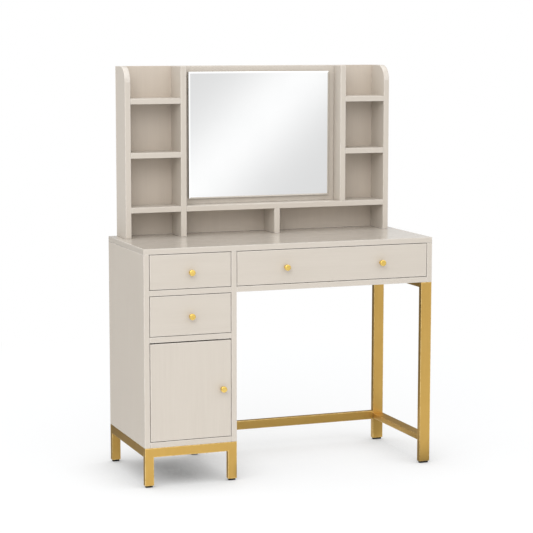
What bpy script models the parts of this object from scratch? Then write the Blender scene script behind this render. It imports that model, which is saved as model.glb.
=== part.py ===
"""Vanity table with a mirror: a desk with a pedestal, drawers and a door on a metal base, and a hutch.

Blender 4.5, metres, +Z up. X runs from left to right, the front faces -Y and the floor is Z = 0.
Run with: blender --background --python part.py
"""

import math

import bmesh
import bpy
from mathutils import Vector

# ---- Driving dimensions -------------------------------------------------------------------------

# Overall sizes of the desk and of the hutch that stands on it.
DESK_WIDTH = 1.000
DESK_DEPTH = 0.400
DESK_HEIGHT = 0.765
HUTCH_HEIGHT = 0.563
HUTCH_DEPTH = 0.108
HUTCH_INSET = 0.029

# Board thicknesses.
BOARD = 0.018
UPRIGHT = 0.019
DRAWER_WALL = 0.012
THIN_BOARD = 0.005
EDGE_ROUND = 0.0008
SQUARE_EDGE = 0.0

# Clearances: between pieces that touch, around inset fronts, over the door, and around turning pins.
TOUCH = 0.0003
REVEAL = 0.002
DOOR_HEAD_GAP = 0.004
PIN_PLAY = 0.0001

# Pedestal, apron and the boards between the fronts.
PEDESTAL_WIDTH = 0.310
PEDESTAL_CLEARANCE = 0.128
FRONT_HEIGHT_UPPER = 0.110
FRONT_HEIGHT_MIDDLE = 0.127

# Drawer boxes and their runners.
BOX_REAR_ROOM = 0.047
BOX_HEADROOM = 0.022
BOX_LIFT = 0.010
GROOVE_DEPTH = 0.005
GROOVE_LIFT = 0.008
RUNNER_THICKNESS = 0.012
RUNNER_HEIGHT = 0.035
RUNNER_REAR_ROOM = 0.030

# Knobs.
KNOB_RADIUS = 0.010
KNOB_STEM_RADIUS = 0.0065
KNOB_LENGTH = 0.022
KNOB_HEAD_LENGTH = 0.011
KNOB_ROUND = 0.0015
KNOB_SIDES = 32
MERGE_DISTANCE = 0.00001
DOOR_KNOB_MARGIN = 0.030
PEDESTAL_KNOB_DROP = 0.004
WIDE_KNOB_DROP = 0.0015

# Door pivots and catch.
PIVOT_RADIUS = 0.0025
PIVOT_FLANGE_RADIUS = 0.0045
PIVOT_PIN_LENGTH = 0.010
PIVOT_FROM_EDGE = 0.010
PIVOT_FROM_FRONT = 0.005
PIN_SIDES = 24
CATCH_SIZE = (0.040, 0.014, 0.014)

# Metal base.
TUBE_DEPTH = 0.018
PEDESTAL_TUBE = 0.030
SIDE_TUBE = 0.038
SIDE_STRETCHER_HEIGHT = 0.078
REAR_STRETCHER_HEIGHT = 0.075
TUBE_ROUND = 0.0015
PAD_HEIGHT = 0.006
PAD_INSET = 0.0035

# Hutch: columns, shelf levels above the desktop, and the round of the outer panels.
LEFT_COLUMN = 0.172
RIGHT_COLUMN = 0.142
SHELF_LEVELS = (0.4585, 0.2815, 0.102)
MID_DIVIDER_FROM_LEFT = 0.312
HUTCH_ROUND = 0.050
ROUND_STEPS = 12
SHARP_ANGLE = 40

# Mirror.
MIRROR_SETBACK = 0.060
MIRROR_BOARD = 0.015
MIRROR_MARGIN_SIDE = 0.0245
MIRROR_MARGIN_TOP = 0.0195
MIRROR_BACKING = 0.009
MIRROR_GLASS = 0.004

# ---- Places worked out from the dimensions ------------------------------------------------------

# The origin is under the middle of the whole object, knobs included.
LEFT = -DESK_WIDTH / 2
RIGHT = DESK_WIDTH / 2
FRONT = -DESK_DEPTH / 2 + KNOB_LENGTH / 2
BACK = FRONT + DESK_DEPTH

DESK_UNDER = DESK_HEIGHT - BOARD
FRAME_TOP = PEDESTAL_CLEARANCE - TOUCH
PEDESTAL_RIGHT = LEFT + PEDESTAL_WIDTH
INNER_LEFT = LEFT + BOARD
INNER_RIGHT = PEDESTAL_RIGHT - BOARD
APRON_RIGHT = RIGHT - BOARD
INNER_BACK = BACK - THIN_BOARD

UPPER_FRONT_TOP = DESK_UNDER - REVEAL
UPPER_FRONT_BASE = UPPER_FRONT_TOP - FRONT_HEIGHT_UPPER
DRAWER_RAIL_TOP = UPPER_FRONT_BASE - REVEAL
DRAWER_RAIL_BASE = DRAWER_RAIL_TOP - BOARD
MIDDLE_FRONT_TOP = DRAWER_RAIL_BASE - REVEAL
MIDDLE_FRONT_BASE = MIDDLE_FRONT_TOP - FRONT_HEIGHT_MIDDLE
CABINET_TOP_TOP = MIDDLE_FRONT_BASE - REVEAL
CABINET_TOP_BASE = CABINET_TOP_TOP - BOARD
CABINET_FLOOR = PEDESTAL_CLEARANCE + BOARD
DOOR_TOP = CABINET_TOP_BASE - DOOR_HEAD_GAP
DOOR_BASE = CABINET_FLOOR + REVEAL

HUTCH_BASE = DESK_HEIGHT + TOUCH
HUTCH_TOP = DESK_HEIGHT + HUTCH_HEIGHT
HUTCH_FRONT = BACK - HUTCH_DEPTH
HUTCH_LEFT = LEFT + HUTCH_INSET
HUTCH_RIGHT = RIGHT - HUTCH_INSET
HUTCH_BACK = BACK - THIN_BOARD - TOUCH
LEFT_DIVIDER = HUTCH_LEFT + UPRIGHT + LEFT_COLUMN
RIGHT_DIVIDER = HUTCH_RIGHT - UPRIGHT - RIGHT_COLUMN - UPRIGHT
LONG_SHELF_TOP = DESK_HEIGHT + SHELF_LEVELS[2]

# ---- Materials ----------------------------------------------------------------------------------

PAINTED_BOARD = ("painted_board", (0.69, 0.63, 0.55), 0.45, 0.0)
DRAWER_BOARD = ("drawer_board", (0.74, 0.68, 0.60), 0.60, 0.0)
GOLD_METAL = ("gold_metal", (0.72, 0.48, 0.17), 0.32, 1.0)
GOLD_KNOB = ("gold_knob", (0.85, 0.60, 0.20), 0.18, 1.0)
PLATED_STEEL = ("plated_steel", (0.62, 0.62, 0.63), 0.35, 1.0)
DARK_STEEL = ("dark_steel", (0.13, 0.125, 0.12), 0.40, 1.0)
BLACK_RUBBER = ("black_rubber", (0.02, 0.02, 0.02), 0.80, 0.0)
MIRROR_SILVER = ("mirror_silver", (0.92, 0.93, 0.94), 0.02, 1.0)
DARK_BACKING = ("dark_backing", (0.16, 0.14, 0.12), 0.70, 0.0)
DARK_PLASTIC = ("dark_plastic", (0.10, 0.09, 0.08), 0.50, 0.0)


def material(finish):
    """Return the material for a finish, making it the first time it is asked for."""
    name, colour, roughness, metallic = finish
    found = bpy.data.materials.get(name)
    if found:
        return found
    made = bpy.data.materials.new(name)
    made.use_nodes = True
    shader = made.node_tree.nodes["Principled BSDF"]
    shader.inputs["Base Color"].default_value = (*colour, 1.0)
    shader.inputs["Roughness"].default_value = roughness
    shader.inputs["Metallic"].default_value = metallic
    return made


# ---- Shape helpers ------------------------------------------------------------------------------


def clear_scene():
    """Remove every object that the file opened with."""
    for thing in list(bpy.data.objects):
        bpy.data.objects.remove(thing, do_unlink=True)


def new_collection(name):
    """Make a collection in the scene."""
    made = bpy.data.collections.new(name)
    bpy.context.scene.collection.children.link(made)
    return made


def add_object(name, mesh, place, finish, collection):
    """Put a mesh in a collection as a named object with its material."""
    thing = bpy.data.objects.new(name, mesh)
    thing.location = place
    if finish:
        mesh.materials.append(material(finish))
    collection.objects.link(thing)
    return thing


def hang_on(parent, *pieces):
    """Parent pieces to an empty and keep them where they are."""
    for piece in pieces:
        piece.parent = parent
        piece.matrix_parent_inverse = parent.matrix_basis.inverted()


def joint_empty(name, place):
    """Make the empty that marks a joint's axis and carries the pieces that move."""
    empty = bpy.data.objects.new(name, None)
    empty.location = place
    PARTS.objects.link(empty)
    return empty


def round_edges(thing, width):
    """Ease a thing's sharp edges with one flat cut, and leave the facets of a round alone."""
    bevel = thing.modifiers.new("round_edges", "BEVEL")
    bevel.width = width
    bevel.segments = 1
    bevel.limit_method = "ANGLE"
    bevel.angle_limit = math.radians(SHARP_ANGLE)


def box_mesh(name, low, high):
    """Make a box's mesh about its own middle."""
    size = Vector(high) - Vector(low)
    shape = bmesh.new()
    bmesh.ops.create_cube(shape, size=1.0)
    bmesh.ops.scale(shape, vec=size, verts=shape.verts)
    mesh = bpy.data.meshes.new(name)
    shape.to_mesh(mesh)
    shape.free()
    return mesh


def board(name, low, high, finish=PAINTED_BOARD, edge=EDGE_ROUND):
    """Make a board between two corners, with its edges eased."""
    middle = (Vector(low) + Vector(high)) / 2
    thing = add_object(name, box_mesh(name, low, high), middle, finish, PARTS)
    if edge:
        round_edges(thing, edge)
    return thing


def cutter_box(name, low, high):
    """Make a box that only cuts or joins other pieces."""
    middle = (Vector(low) + Vector(high)) / 2
    thing = add_object(name, box_mesh(name, low, high), middle, None, CUTTERS)
    thing.hide_render = True
    thing.display_type = "WIRE"
    return thing


def cutter_pin(name, radius, low_z, high_z, x, y):
    """Make an upright cylinder that only cuts other pieces."""
    mesh = pin_mesh(name, ((radius, low_z), (radius, high_z)))
    thing = add_object(name, mesh, (x, y, 0.0), None, CUTTERS)
    thing.hide_render = True
    thing.display_type = "WIRE"
    return thing


def combine(thing, cutter, operation):
    """Cut a cutter out of a thing, or join it on."""
    change = thing.modifiers.new(operation.lower(), "BOOLEAN")
    change.operation = operation
    change.solver = "EXACT"
    change.object = cutter


def pin_mesh(name, steps):
    """Make a stepped upright pin from (radius, height) pairs, two for each cylinder, joined in one."""
    shape = bmesh.new()
    rings = []
    for radius, height in steps:
        ring = bmesh.ops.create_circle(shape, cap_ends=False, segments=PIN_SIDES, radius=radius)
        bmesh.ops.translate(shape, vec=(0, 0, height), verts=ring["verts"])
        rings.append(ring["verts"])
    for lower, upper in zip(rings, rings[1:]):
        for i in range(PIN_SIDES):
            j = (i + 1) % PIN_SIDES
            shape.faces.new((lower[i], lower[j], upper[j], upper[i]))
    shape.faces.new(list(reversed(rings[0])))
    shape.faces.new(rings[-1])
    bmesh.ops.recalc_face_normals(shape, faces=shape.faces)
    mesh = bpy.data.meshes.new(name)
    shape.to_mesh(mesh)
    shape.free()
    return mesh


def knob(name, x, z):
    """Make a turned knob: a slim stem and a thick round head with eased edges."""
    head_back = KNOB_LENGTH - KNOB_HEAD_LENGTH
    stem_start = TOUCH
    profile = [
        (0.0, stem_start),
        (KNOB_STEM_RADIUS, stem_start),
        (KNOB_STEM_RADIUS, head_back),
        (KNOB_RADIUS - KNOB_ROUND, head_back),
        (KNOB_RADIUS, head_back + KNOB_ROUND),
        (KNOB_RADIUS, KNOB_LENGTH - KNOB_ROUND),
        (KNOB_RADIUS - KNOB_ROUND, KNOB_LENGTH),
        (0.0, KNOB_LENGTH),
    ]
    shape = bmesh.new()
    corners = [shape.verts.new((radius, -reach, 0.0)) for radius, reach in profile]
    for start, end in zip(corners, corners[1:]):
        shape.edges.new((start, end))
    mesh = bpy.data.meshes.new(name)
    shape.to_mesh(mesh)
    shape.free()
    thing = add_object(name, mesh, (x, FRONT, z), GOLD_KNOB, PARTS)
    turn = thing.modifiers.new("turn", "SCREW")
    turn.axis = "Y"
    turn.steps = KNOB_SIDES
    turn.render_steps = KNOB_SIDES
    turn.use_merge_vertices = True
    turn.merge_threshold = MERGE_DISTANCE
    turn.use_normal_calculate = True
    return thing


# ---- Metal base ---------------------------------------------------------------------------------


def pedestal_base():
    """Make the welded frame under the pedestal: legs at the corners and a rail on each side."""
    right = PEDESTAL_RIGHT - PEDESTAL_TUBE
    rear = BACK - TUBE_DEPTH
    rail_base = FRAME_TOP - PEDESTAL_TUBE
    low = (LEFT, FRONT, PAD_HEIGHT)
    high = (LEFT + PEDESTAL_TUBE, FRONT + TUBE_DEPTH, FRAME_TOP)
    frame = board("pedestal_base_frame", low, high, GOLD_METAL, SQUARE_EDGE)
    joined = [
        ("leg_front_right", (right, FRONT, PAD_HEIGHT), (PEDESTAL_RIGHT, FRONT + TUBE_DEPTH, FRAME_TOP)),
        ("leg_back_left", (LEFT, rear, PAD_HEIGHT), (LEFT + PEDESTAL_TUBE, BACK, FRAME_TOP)),
        ("leg_back_right", (right, rear, PAD_HEIGHT), (PEDESTAL_RIGHT, BACK, FRAME_TOP)),
        ("rail_front", (LEFT, FRONT, rail_base), (PEDESTAL_RIGHT, FRONT + TUBE_DEPTH, FRAME_TOP)),
        ("rail_back", (LEFT, rear, rail_base), (PEDESTAL_RIGHT, BACK, FRAME_TOP)),
        ("rail_left", (LEFT, FRONT, rail_base), (LEFT + TUBE_DEPTH, BACK, FRAME_TOP)),
        ("rail_right", (PEDESTAL_RIGHT - TUBE_DEPTH, FRONT, rail_base), (PEDESTAL_RIGHT, BACK, FRAME_TOP)),
    ]
    for name, tube_low, tube_high in joined:
        combine(frame, cutter_box(name, tube_low, tube_high), "UNION")
    round_edges(frame, TUBE_ROUND)


def side_base():
    """Make the welded frame under the right end: two legs, a top rail and a low stretcher."""
    left = RIGHT - SIDE_TUBE
    rear = BACK - TUBE_DEPTH
    top = DRAWER_RAIL_BASE - TOUCH
    low = (left, FRONT, PAD_HEIGHT)
    frame = board("side_frame", low, (RIGHT, FRONT + TUBE_DEPTH, top), GOLD_METAL, SQUARE_EDGE)
    stretcher_top = SIDE_STRETCHER_HEIGHT + TUBE_DEPTH
    joined = [
        ("side_leg_back", (left, rear, PAD_HEIGHT), (RIGHT, BACK, top)),
        ("side_rail_top", (left, FRONT, top - TUBE_DEPTH), (RIGHT, BACK, top)),
        ("side_stretcher", (left, FRONT, SIDE_STRETCHER_HEIGHT), (RIGHT, BACK, stretcher_top)),
    ]
    for name, tube_low, tube_high in joined:
        combine(frame, cutter_box(name, tube_low, tube_high), "UNION")
    round_edges(frame, TUBE_ROUND)


def rear_stretcher():
    """Make the long tube that ties the two base frames together at the back."""
    low = (PEDESTAL_RIGHT + TOUCH, BACK - TUBE_DEPTH, REAR_STRETCHER_HEIGHT)
    high = (RIGHT - SIDE_TUBE - TOUCH, BACK, REAR_STRETCHER_HEIGHT + PEDESTAL_TUBE)
    board("rear_stretcher", low, high, GOLD_METAL, TUBE_ROUND)


def foot_pads():
    """Make a rubber pad under each leg, a little smaller than the tube."""
    columns = [
        ("left", LEFT, PEDESTAL_TUBE),
        ("middle", PEDESTAL_RIGHT - PEDESTAL_TUBE, PEDESTAL_TUBE),
        ("right", RIGHT - SIDE_TUBE, SIDE_TUBE),
    ]
    rows = [("front", FRONT), ("back", BACK - TUBE_DEPTH)]
    for column, x, width in columns:
        for row, y in rows:
            low = (x + PAD_INSET, y + PAD_INSET, 0.0)
            high = (x + width - PAD_INSET, y + TUBE_DEPTH - PAD_INSET, PAD_HEIGHT - TOUCH)
            board(f"foot_pad_{row}_{column}", low, high, BLACK_RUBBER)


# ---- Desk carcass -------------------------------------------------------------------------------


def pedestal_case():
    """Make the pedestal's sides, floor, back and the boards between its fronts."""
    top = DESK_UNDER - TOUCH
    left_inside = INNER_LEFT + TOUCH
    right_inside = INNER_RIGHT - TOUCH
    board("pedestal_left_panel", (LEFT, FRONT, PEDESTAL_CLEARANCE), (INNER_LEFT, BACK, top))
    board("pedestal_right_panel", (INNER_RIGHT, FRONT, PEDESTAL_CLEARANCE), (PEDESTAL_RIGHT, BACK, top))
    back_low = (left_inside, INNER_BACK, PEDESTAL_CLEARANCE)
    board("pedestal_back", back_low, (right_inside, BACK, top))

    across = [
        ("pedestal_floor", PEDESTAL_CLEARANCE, CABINET_FLOOR),
        ("cabinet_top_board", CABINET_TOP_BASE, CABINET_TOP_TOP),
        ("drawer_rail_board", DRAWER_RAIL_BASE, DRAWER_RAIL_TOP),
    ]
    made = {}
    for name, base, roof in across:
        low = (left_inside, FRONT, base)
        made[name] = board(name, low, (right_inside, INNER_BACK - TOUCH, roof))
    return made


def desktop_and_apron():
    """Make the desktop and the open box under it that holds the wide drawer."""
    board("desktop", (LEFT, FRONT, DESK_UNDER), (RIGHT, BACK, DESK_HEIGHT))
    top = DESK_UNDER - TOUCH
    low = (APRON_RIGHT, FRONT, DRAWER_RAIL_BASE)
    board("apron_side_panel", low, (RIGHT, BACK, top))
    start = PEDESTAL_RIGHT + TOUCH
    end = APRON_RIGHT - TOUCH
    board("apron_bottom", (start, FRONT, DRAWER_RAIL_BASE), (end, BACK, DRAWER_RAIL_TOP))
    back_low = (start, BACK - BOARD, DRAWER_RAIL_TOP + TOUCH)
    board("apron_back", back_low, (end, BACK, top))


# ---- Drawers ------------------------------------------------------------------------------------


def drawer(name, left, right, front_base, front_top, knob_places, knob_drop):
    """Make a drawer and its runners between two walls.

    The knobs' X places are keyed by the side's name, and the drop is how far they sit below the middle.
    """
    slide = joint_empty(f"{name}_slide", ((left + right) / 2, FRONT, (front_base + front_top) / 2))
    front_low = (left + REVEAL, FRONT, front_base)
    front = board(f"{name}_front", front_low, (right - REVEAL, FRONT + BOARD, front_top))

    side_room = RUNNER_THICKNESS + 2 * TOUCH
    box_left = left + side_room
    box_right = right - side_room
    box_front = FRONT + BOARD + TOUCH
    box_back = INNER_BACK - BOX_REAR_ROOM
    box_base = front_base + BOX_LIFT
    box_top = front_top - BOX_HEADROOM
    box_low = (box_left, box_front, box_base)
    box = board(f"{name}_box", box_low, (box_right, box_back, box_top), DRAWER_BOARD, SQUARE_EDGE)
    hollow_low = (box_left + DRAWER_WALL, box_front - DRAWER_WALL, box_base - DRAWER_WALL)
    hollow_high = (box_right - DRAWER_WALL, box_back - DRAWER_WALL, box_top + DRAWER_WALL)
    combine(box, cutter_box(f"{name}_hollow", hollow_low, hollow_high), "DIFFERENCE")

    bottom_low = Vector((hollow_low[0] - GROOVE_DEPTH, FRONT + BOARD - GROOVE_DEPTH, box_base + GROOVE_LIFT))
    bottom_high = Vector((hollow_high[0] + GROOVE_DEPTH, hollow_high[1] + GROOVE_DEPTH, 0.0))
    bottom_high.z = bottom_low.z + THIN_BOARD
    bottom = board(f"{name}_bottom", bottom_low, bottom_high, DRAWER_BOARD, SQUARE_EDGE)
    play = Vector((TOUCH, TOUCH, TOUCH))
    groove = cutter_box(f"{name}_groove", bottom_low - play, bottom_high + play)
    combine(box, groove, "DIFFERENCE")
    combine(front, groove, "DIFFERENCE")

    knob_z = (front_base + front_top) / 2 - knob_drop
    knobs = [knob(f"{name}_knob{side}", x, knob_z) for side, x in knob_places.items()]
    hang_on(slide, front, box, bottom, *knobs)

    runner_base = (box_base + box_top - RUNNER_HEIGHT) / 2
    for side, x in (("left", left + TOUCH), ("right", right - TOUCH - RUNNER_THICKNESS)):
        runner_low = (x, box_front, runner_base)
        runner_back = box_back - RUNNER_REAR_ROOM
        runner_high = (x + RUNNER_THICKNESS, runner_back, runner_base + RUNNER_HEIGHT)
        board(f"{name}_runner_{side}", runner_low, runner_high, PLATED_STEEL)


def all_drawers():
    """Make the two pedestal drawers and the wide drawer."""
    one_knob = {"": (INNER_LEFT + INNER_RIGHT) / 2}
    for name, base, top in (
        ("upper_drawer", UPPER_FRONT_BASE, UPPER_FRONT_TOP),
        ("middle_drawer", MIDDLE_FRONT_BASE, MIDDLE_FRONT_TOP),
    ):
        drawer(name, INNER_LEFT, INNER_RIGHT, base, top, one_knob, PEDESTAL_KNOB_DROP)
    quarter = (APRON_RIGHT - PEDESTAL_RIGHT) / 4
    two_knobs = {"_left": PEDESTAL_RIGHT + quarter, "_right": APRON_RIGHT - quarter}
    base, top = UPPER_FRONT_BASE, UPPER_FRONT_TOP
    drawer("wide_drawer", PEDESTAL_RIGHT, APRON_RIGHT, base, top, two_knobs, WIDE_KNOB_DROP)


# ---- Door ---------------------------------------------------------------------------------------


def cabinet_door(floor, ceiling):
    """Make the door, its knob, the pins it turns on and the catch that holds it shut."""
    axis_x = INNER_LEFT + REVEAL + PIVOT_FROM_EDGE
    axis_y = FRONT + PIVOT_FROM_FRONT
    hinge = joint_empty("door_hinge", (axis_x, axis_y, (DOOR_BASE + DOOR_TOP) / 2))
    low = (INNER_LEFT + REVEAL, FRONT, DOOR_BASE)
    high = (INNER_RIGHT - REVEAL, FRONT + BOARD, DOOR_TOP)
    panel = board("door_panel", low, high)
    knob_x = INNER_RIGHT - REVEAL - DOOR_KNOB_MARGIN
    pull = knob("door_knob", knob_x, (DOOR_BASE + DOOR_TOP) / 2)
    hang_on(hinge, panel, pull)

    hole = PIVOT_RADIUS + PIN_PLAY
    depth = PIVOT_PIN_LENGTH + TOUCH
    pivots = [
        ("lower", floor, CABINET_FLOOR, DOOR_BASE, 1),
        ("upper", ceiling, CABINET_TOP_BASE, DOOR_TOP, -1),
    ]
    for name, carcass, start, edge, up in pivots:
        seat = start + up * TOUCH
        shoulder = edge - up * TOUCH
        steps = [
            (PIVOT_RADIUS, start - up * PIVOT_PIN_LENGTH),
            (PIVOT_RADIUS, seat),
            (PIVOT_FLANGE_RADIUS, seat),
            (PIVOT_FLANGE_RADIUS, shoulder),
            (PIVOT_RADIUS, shoulder),
            (PIVOT_RADIUS, edge + up * PIVOT_PIN_LENGTH),
        ]
        mesh = pin_mesh(f"door_pivot_{name}", steps)
        add_object(f"door_pivot_{name}", mesh, (axis_x, axis_y, 0.0), DARK_STEEL, PARTS)
        ends = sorted((start - up * depth, edge + up * depth))
        bore = cutter_pin(f"pivot_bore_{name}", hole, ends[0], ends[1], axis_x, axis_y)
        combine(panel, bore, "DIFFERENCE")
        combine(carcass, bore, "DIFFERENCE")

    catch_width, catch_depth, catch_height = CATCH_SIZE
    catch_right = INNER_RIGHT - REVEAL - TOUCH
    catch_front = FRONT + BOARD + TOUCH
    catch_top = CABINET_TOP_BASE - TOUCH
    catch_low = (catch_right - catch_width, catch_front, catch_top - catch_height)
    board("door_catch", catch_low, (catch_right, catch_front + catch_depth, catch_top), DARK_PLASTIC)


# ---- Hutch --------------------------------------------------------------------------------------


def rounded_panel(name, x):
    """Make an outer panel of the hutch, with its front top corner cut to a round."""
    depth = HUTCH_BACK - HUTCH_FRONT
    height = HUTCH_TOP - HUTCH_BASE
    outline = [(depth, 0.0), (depth, height)]
    for step in range(ROUND_STEPS + 1):
        angle = math.radians(90) * step / ROUND_STEPS
        across = HUTCH_ROUND - HUTCH_ROUND * math.sin(angle)
        rise = height - HUTCH_ROUND + HUTCH_ROUND * math.cos(angle)
        outline.append((across, rise))
    outline.append((0.0, 0.0))
    shape = bmesh.new()
    corners = [shape.verts.new((0.0, y, z)) for y, z in outline]
    face = shape.faces.new(corners)
    pushed = bmesh.ops.extrude_face_region(shape, geom=[face])
    moved = [item for item in pushed["geom"] if isinstance(item, bmesh.types.BMVert)]
    bmesh.ops.translate(shape, vec=(UPRIGHT, 0.0, 0.0), verts=moved)
    bmesh.ops.recalc_face_normals(shape, faces=shape.faces)
    mesh = bpy.data.meshes.new(name)
    shape.to_mesh(mesh)
    shape.free()
    thing = add_object(name, mesh, (x, HUTCH_FRONT, HUTCH_BASE), PAINTED_BOARD, PARTS)
    round_edges(thing, EDGE_ROUND)


def hutch_uprights():
    """Make the outer panels, the dividers and the back."""
    rounded_panel("hutch_left_panel", HUTCH_LEFT)
    rounded_panel("hutch_right_panel", HUTCH_RIGHT - UPRIGHT)
    dividers = [
        ("hutch_left_divider", LEFT_DIVIDER, HUTCH_BASE, HUTCH_TOP),
        ("hutch_right_divider", RIGHT_DIVIDER, LONG_SHELF_TOP + TOUCH, HUTCH_TOP),
        ("hutch_small_divider", LEFT_DIVIDER + UPRIGHT + MID_DIVIDER_FROM_LEFT, HUTCH_BASE,
         LONG_SHELF_TOP - BOARD - TOUCH),
    ]
    for name, x, base, top in dividers:
        board(name, (x, HUTCH_FRONT, base), (x + UPRIGHT, HUTCH_BACK, top))
    board("hutch_back", (HUTCH_LEFT, BACK - THIN_BOARD, HUTCH_BASE), (HUTCH_RIGHT, BACK, HUTCH_TOP))


def shelf(name, left, right, level):
    """Make a shelf between two uprights, with its top at a level above the desktop."""
    top = DESK_HEIGHT + level
    board(name, (left + TOUCH, HUTCH_FRONT, top - BOARD), (right - TOUCH, HUTCH_BACK - TOUCH, top))


def hutch_shelves():
    """Make the shelves of both columns and the long shelf under the mirror."""
    for index, level in enumerate(SHELF_LEVELS, start=1):
        shelf(f"left_shelf_{index}", HUTCH_LEFT + UPRIGHT, LEFT_DIVIDER, level)
    for index, level in enumerate(SHELF_LEVELS[:2], start=1):
        shelf(f"right_shelf_{index}", RIGHT_DIVIDER + UPRIGHT, HUTCH_RIGHT - UPRIGHT, level)
    shelf("long_shelf", LEFT_DIVIDER + UPRIGHT, HUTCH_RIGHT - UPRIGHT, SHELF_LEVELS[2])


def mirror():
    """Make the board between the dividers and the mirror fixed on it."""
    board_front = HUTCH_FRONT + MIRROR_SETBACK
    left = LEFT_DIVIDER + UPRIGHT
    right = RIGHT_DIVIDER
    base = LONG_SHELF_TOP
    low = (left + TOUCH, board_front, base + TOUCH)
    board("mirror_board", low, (right - TOUCH, board_front + MIRROR_BOARD, HUTCH_TOP))

    mirror_left = left + MIRROR_MARGIN_SIDE
    mirror_right = right - MIRROR_MARGIN_SIDE
    mirror_base = base + MIRROR_MARGIN_TOP
    mirror_top = HUTCH_TOP - MIRROR_MARGIN_TOP
    backing_back = board_front - TOUCH
    backing_front = backing_back - MIRROR_BACKING
    glass_back = backing_front - TOUCH
    board("mirror_backing", (mirror_left, backing_front, mirror_base),
          (mirror_right, backing_back, mirror_top), DARK_BACKING)
    board("mirror_glass", (mirror_left, glass_back - MIRROR_GLASS, mirror_base),
          (mirror_right, glass_back, mirror_top), MIRROR_SILVER)


# ---- Build --------------------------------------------------------------------------------------

clear_scene()
PARTS = new_collection("vanity_table")
CUTTERS = new_collection("cutters")

pedestal_base()
side_base()
rear_stretcher()
foot_pads()
case = pedestal_case()
desktop_and_apron()
all_drawers()
cabinet_door(case["pedestal_floor"], case["cabinet_top_board"])
hutch_uprights()
hutch_shelves()
mirror()
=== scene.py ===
# %% [markdown]
# # A vanity table with a mirror
#
# This lesson dresses a finished CAD frame as a real piece of furniture. The frame says where every
# board, tube and knob is, and which of them move. We build a better looking piece for each of them,
# give it a finish made from nodes, and let it ride on the body that carries it.
#
# The first code cell loads the frame. Nearly everything after it is measured from the frame, so a
# change in the CAD moves the dressed pieces too.

# %% Load the frame
import math
import random

import bmesh
import bpy
from mathutils import Matrix, Vector


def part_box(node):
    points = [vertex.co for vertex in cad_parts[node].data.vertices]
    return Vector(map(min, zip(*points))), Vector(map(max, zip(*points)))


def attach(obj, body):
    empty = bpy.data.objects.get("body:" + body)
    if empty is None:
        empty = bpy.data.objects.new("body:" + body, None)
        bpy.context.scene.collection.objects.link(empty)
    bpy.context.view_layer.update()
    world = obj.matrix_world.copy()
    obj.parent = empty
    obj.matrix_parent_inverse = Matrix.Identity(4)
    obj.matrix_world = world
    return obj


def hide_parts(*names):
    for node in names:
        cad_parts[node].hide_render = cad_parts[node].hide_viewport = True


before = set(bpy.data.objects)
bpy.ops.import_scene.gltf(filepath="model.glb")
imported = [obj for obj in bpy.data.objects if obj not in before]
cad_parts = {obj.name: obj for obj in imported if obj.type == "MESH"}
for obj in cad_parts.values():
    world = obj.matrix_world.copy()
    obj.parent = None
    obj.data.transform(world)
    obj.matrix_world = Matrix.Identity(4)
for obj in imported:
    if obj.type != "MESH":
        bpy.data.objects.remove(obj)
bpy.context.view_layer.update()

SCENE = bpy.context.scene

# %% [markdown]
# ## The camera
#
# A long lens from a few steps away keeps the uprights nearly parallel, as furniture is usually
# shown. The camera looks slightly down and to the right, so the left side of the pedestal shows.
# Its turn is put together from three plain turns: heading, tilt and a very small roll.

# %% Place the camera
CAMERA_PLACE = Vector((-2.1272, -5.5684, 1.4375))
CAMERA_HEADING = math.radians(-20.756)
CAMERA_TILT = math.radians(82.625)
CAMERA_ROLL = math.radians(0.067)
LENS_MM, SENSOR_MM = 122.0, 36.0

camera_data = bpy.data.cameras.new("camera")
camera_data.lens = LENS_MM
camera_data.sensor_width = SENSOR_MM
camera = bpy.data.objects.new("camera", camera_data)
SCENE.collection.objects.link(camera)
camera.matrix_world = (
    Matrix.Translation(CAMERA_PLACE)
    @ Matrix.Rotation(CAMERA_HEADING, 4, "Z")
    @ Matrix.Rotation(CAMERA_TILT, 4, "X")
    @ Matrix.Rotation(CAMERA_ROLL, 4, "Z")
)
SCENE.camera = camera
print("camera", [round(value, 3) for value in camera.location])

# %% [markdown]
# ## Small helpers for nodes
#
# A material is a little network: each node has settings, and sockets that hold a value or a link.
# `add_node` fills both from plain dictionaries, which keeps every material readable as a list.
# `new_group` makes a shader node group, which is a network that can be used in many materials.

# %% Node helpers
NODE_STEP = 190


def add_node(tree, kind, settings=None, sockets=None):
    """Add a node, set its options, and give each named socket a value or a link."""
    made = tree.nodes.new(kind)
    made.location = (NODE_STEP * len(tree.nodes), 0)
    for name, value in (settings or {}).items():
        setattr(made, name, value)
    for name, value in (sockets or {}).items():
        if isinstance(value, bpy.types.NodeSocket):
            tree.links.new(value, made.inputs[name])
        else:
            made.inputs[name].default_value = value
    return made


def new_group(name, inputs, outputs):
    """Make a shader node group with named sockets, and return its tree and its two end nodes."""
    tree = bpy.data.node_groups.new(name, "ShaderNodeTree")
    for socket_name, kind, value in inputs:
        made = tree.interface.new_socket(socket_name, in_out="INPUT", socket_type=kind)
        if value is not None:
            made.default_value = value
    for socket_name, kind in outputs:
        tree.interface.new_socket(socket_name, in_out="OUTPUT", socket_type=kind)
    return tree, tree.nodes.new("NodeGroupInput"), tree.nodes.new("NodeGroupOutput")


def math_node(tree, operation, first, second):
    """Combine two numbers and return the result's socket."""
    return add_node(tree, "ShaderNodeMath", {"operation": operation}, {0: first, 1: second}).outputs[0]


def scaled(tree, vector, factors):
    """Stretch a vector by a factor on each axis and return its socket."""
    settings = {"operation": "MULTIPLY"}
    return add_node(tree, "ShaderNodeVectorMath", settings, {0: vector, 1: factors}).outputs[0]


print("node helpers ready")

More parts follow.
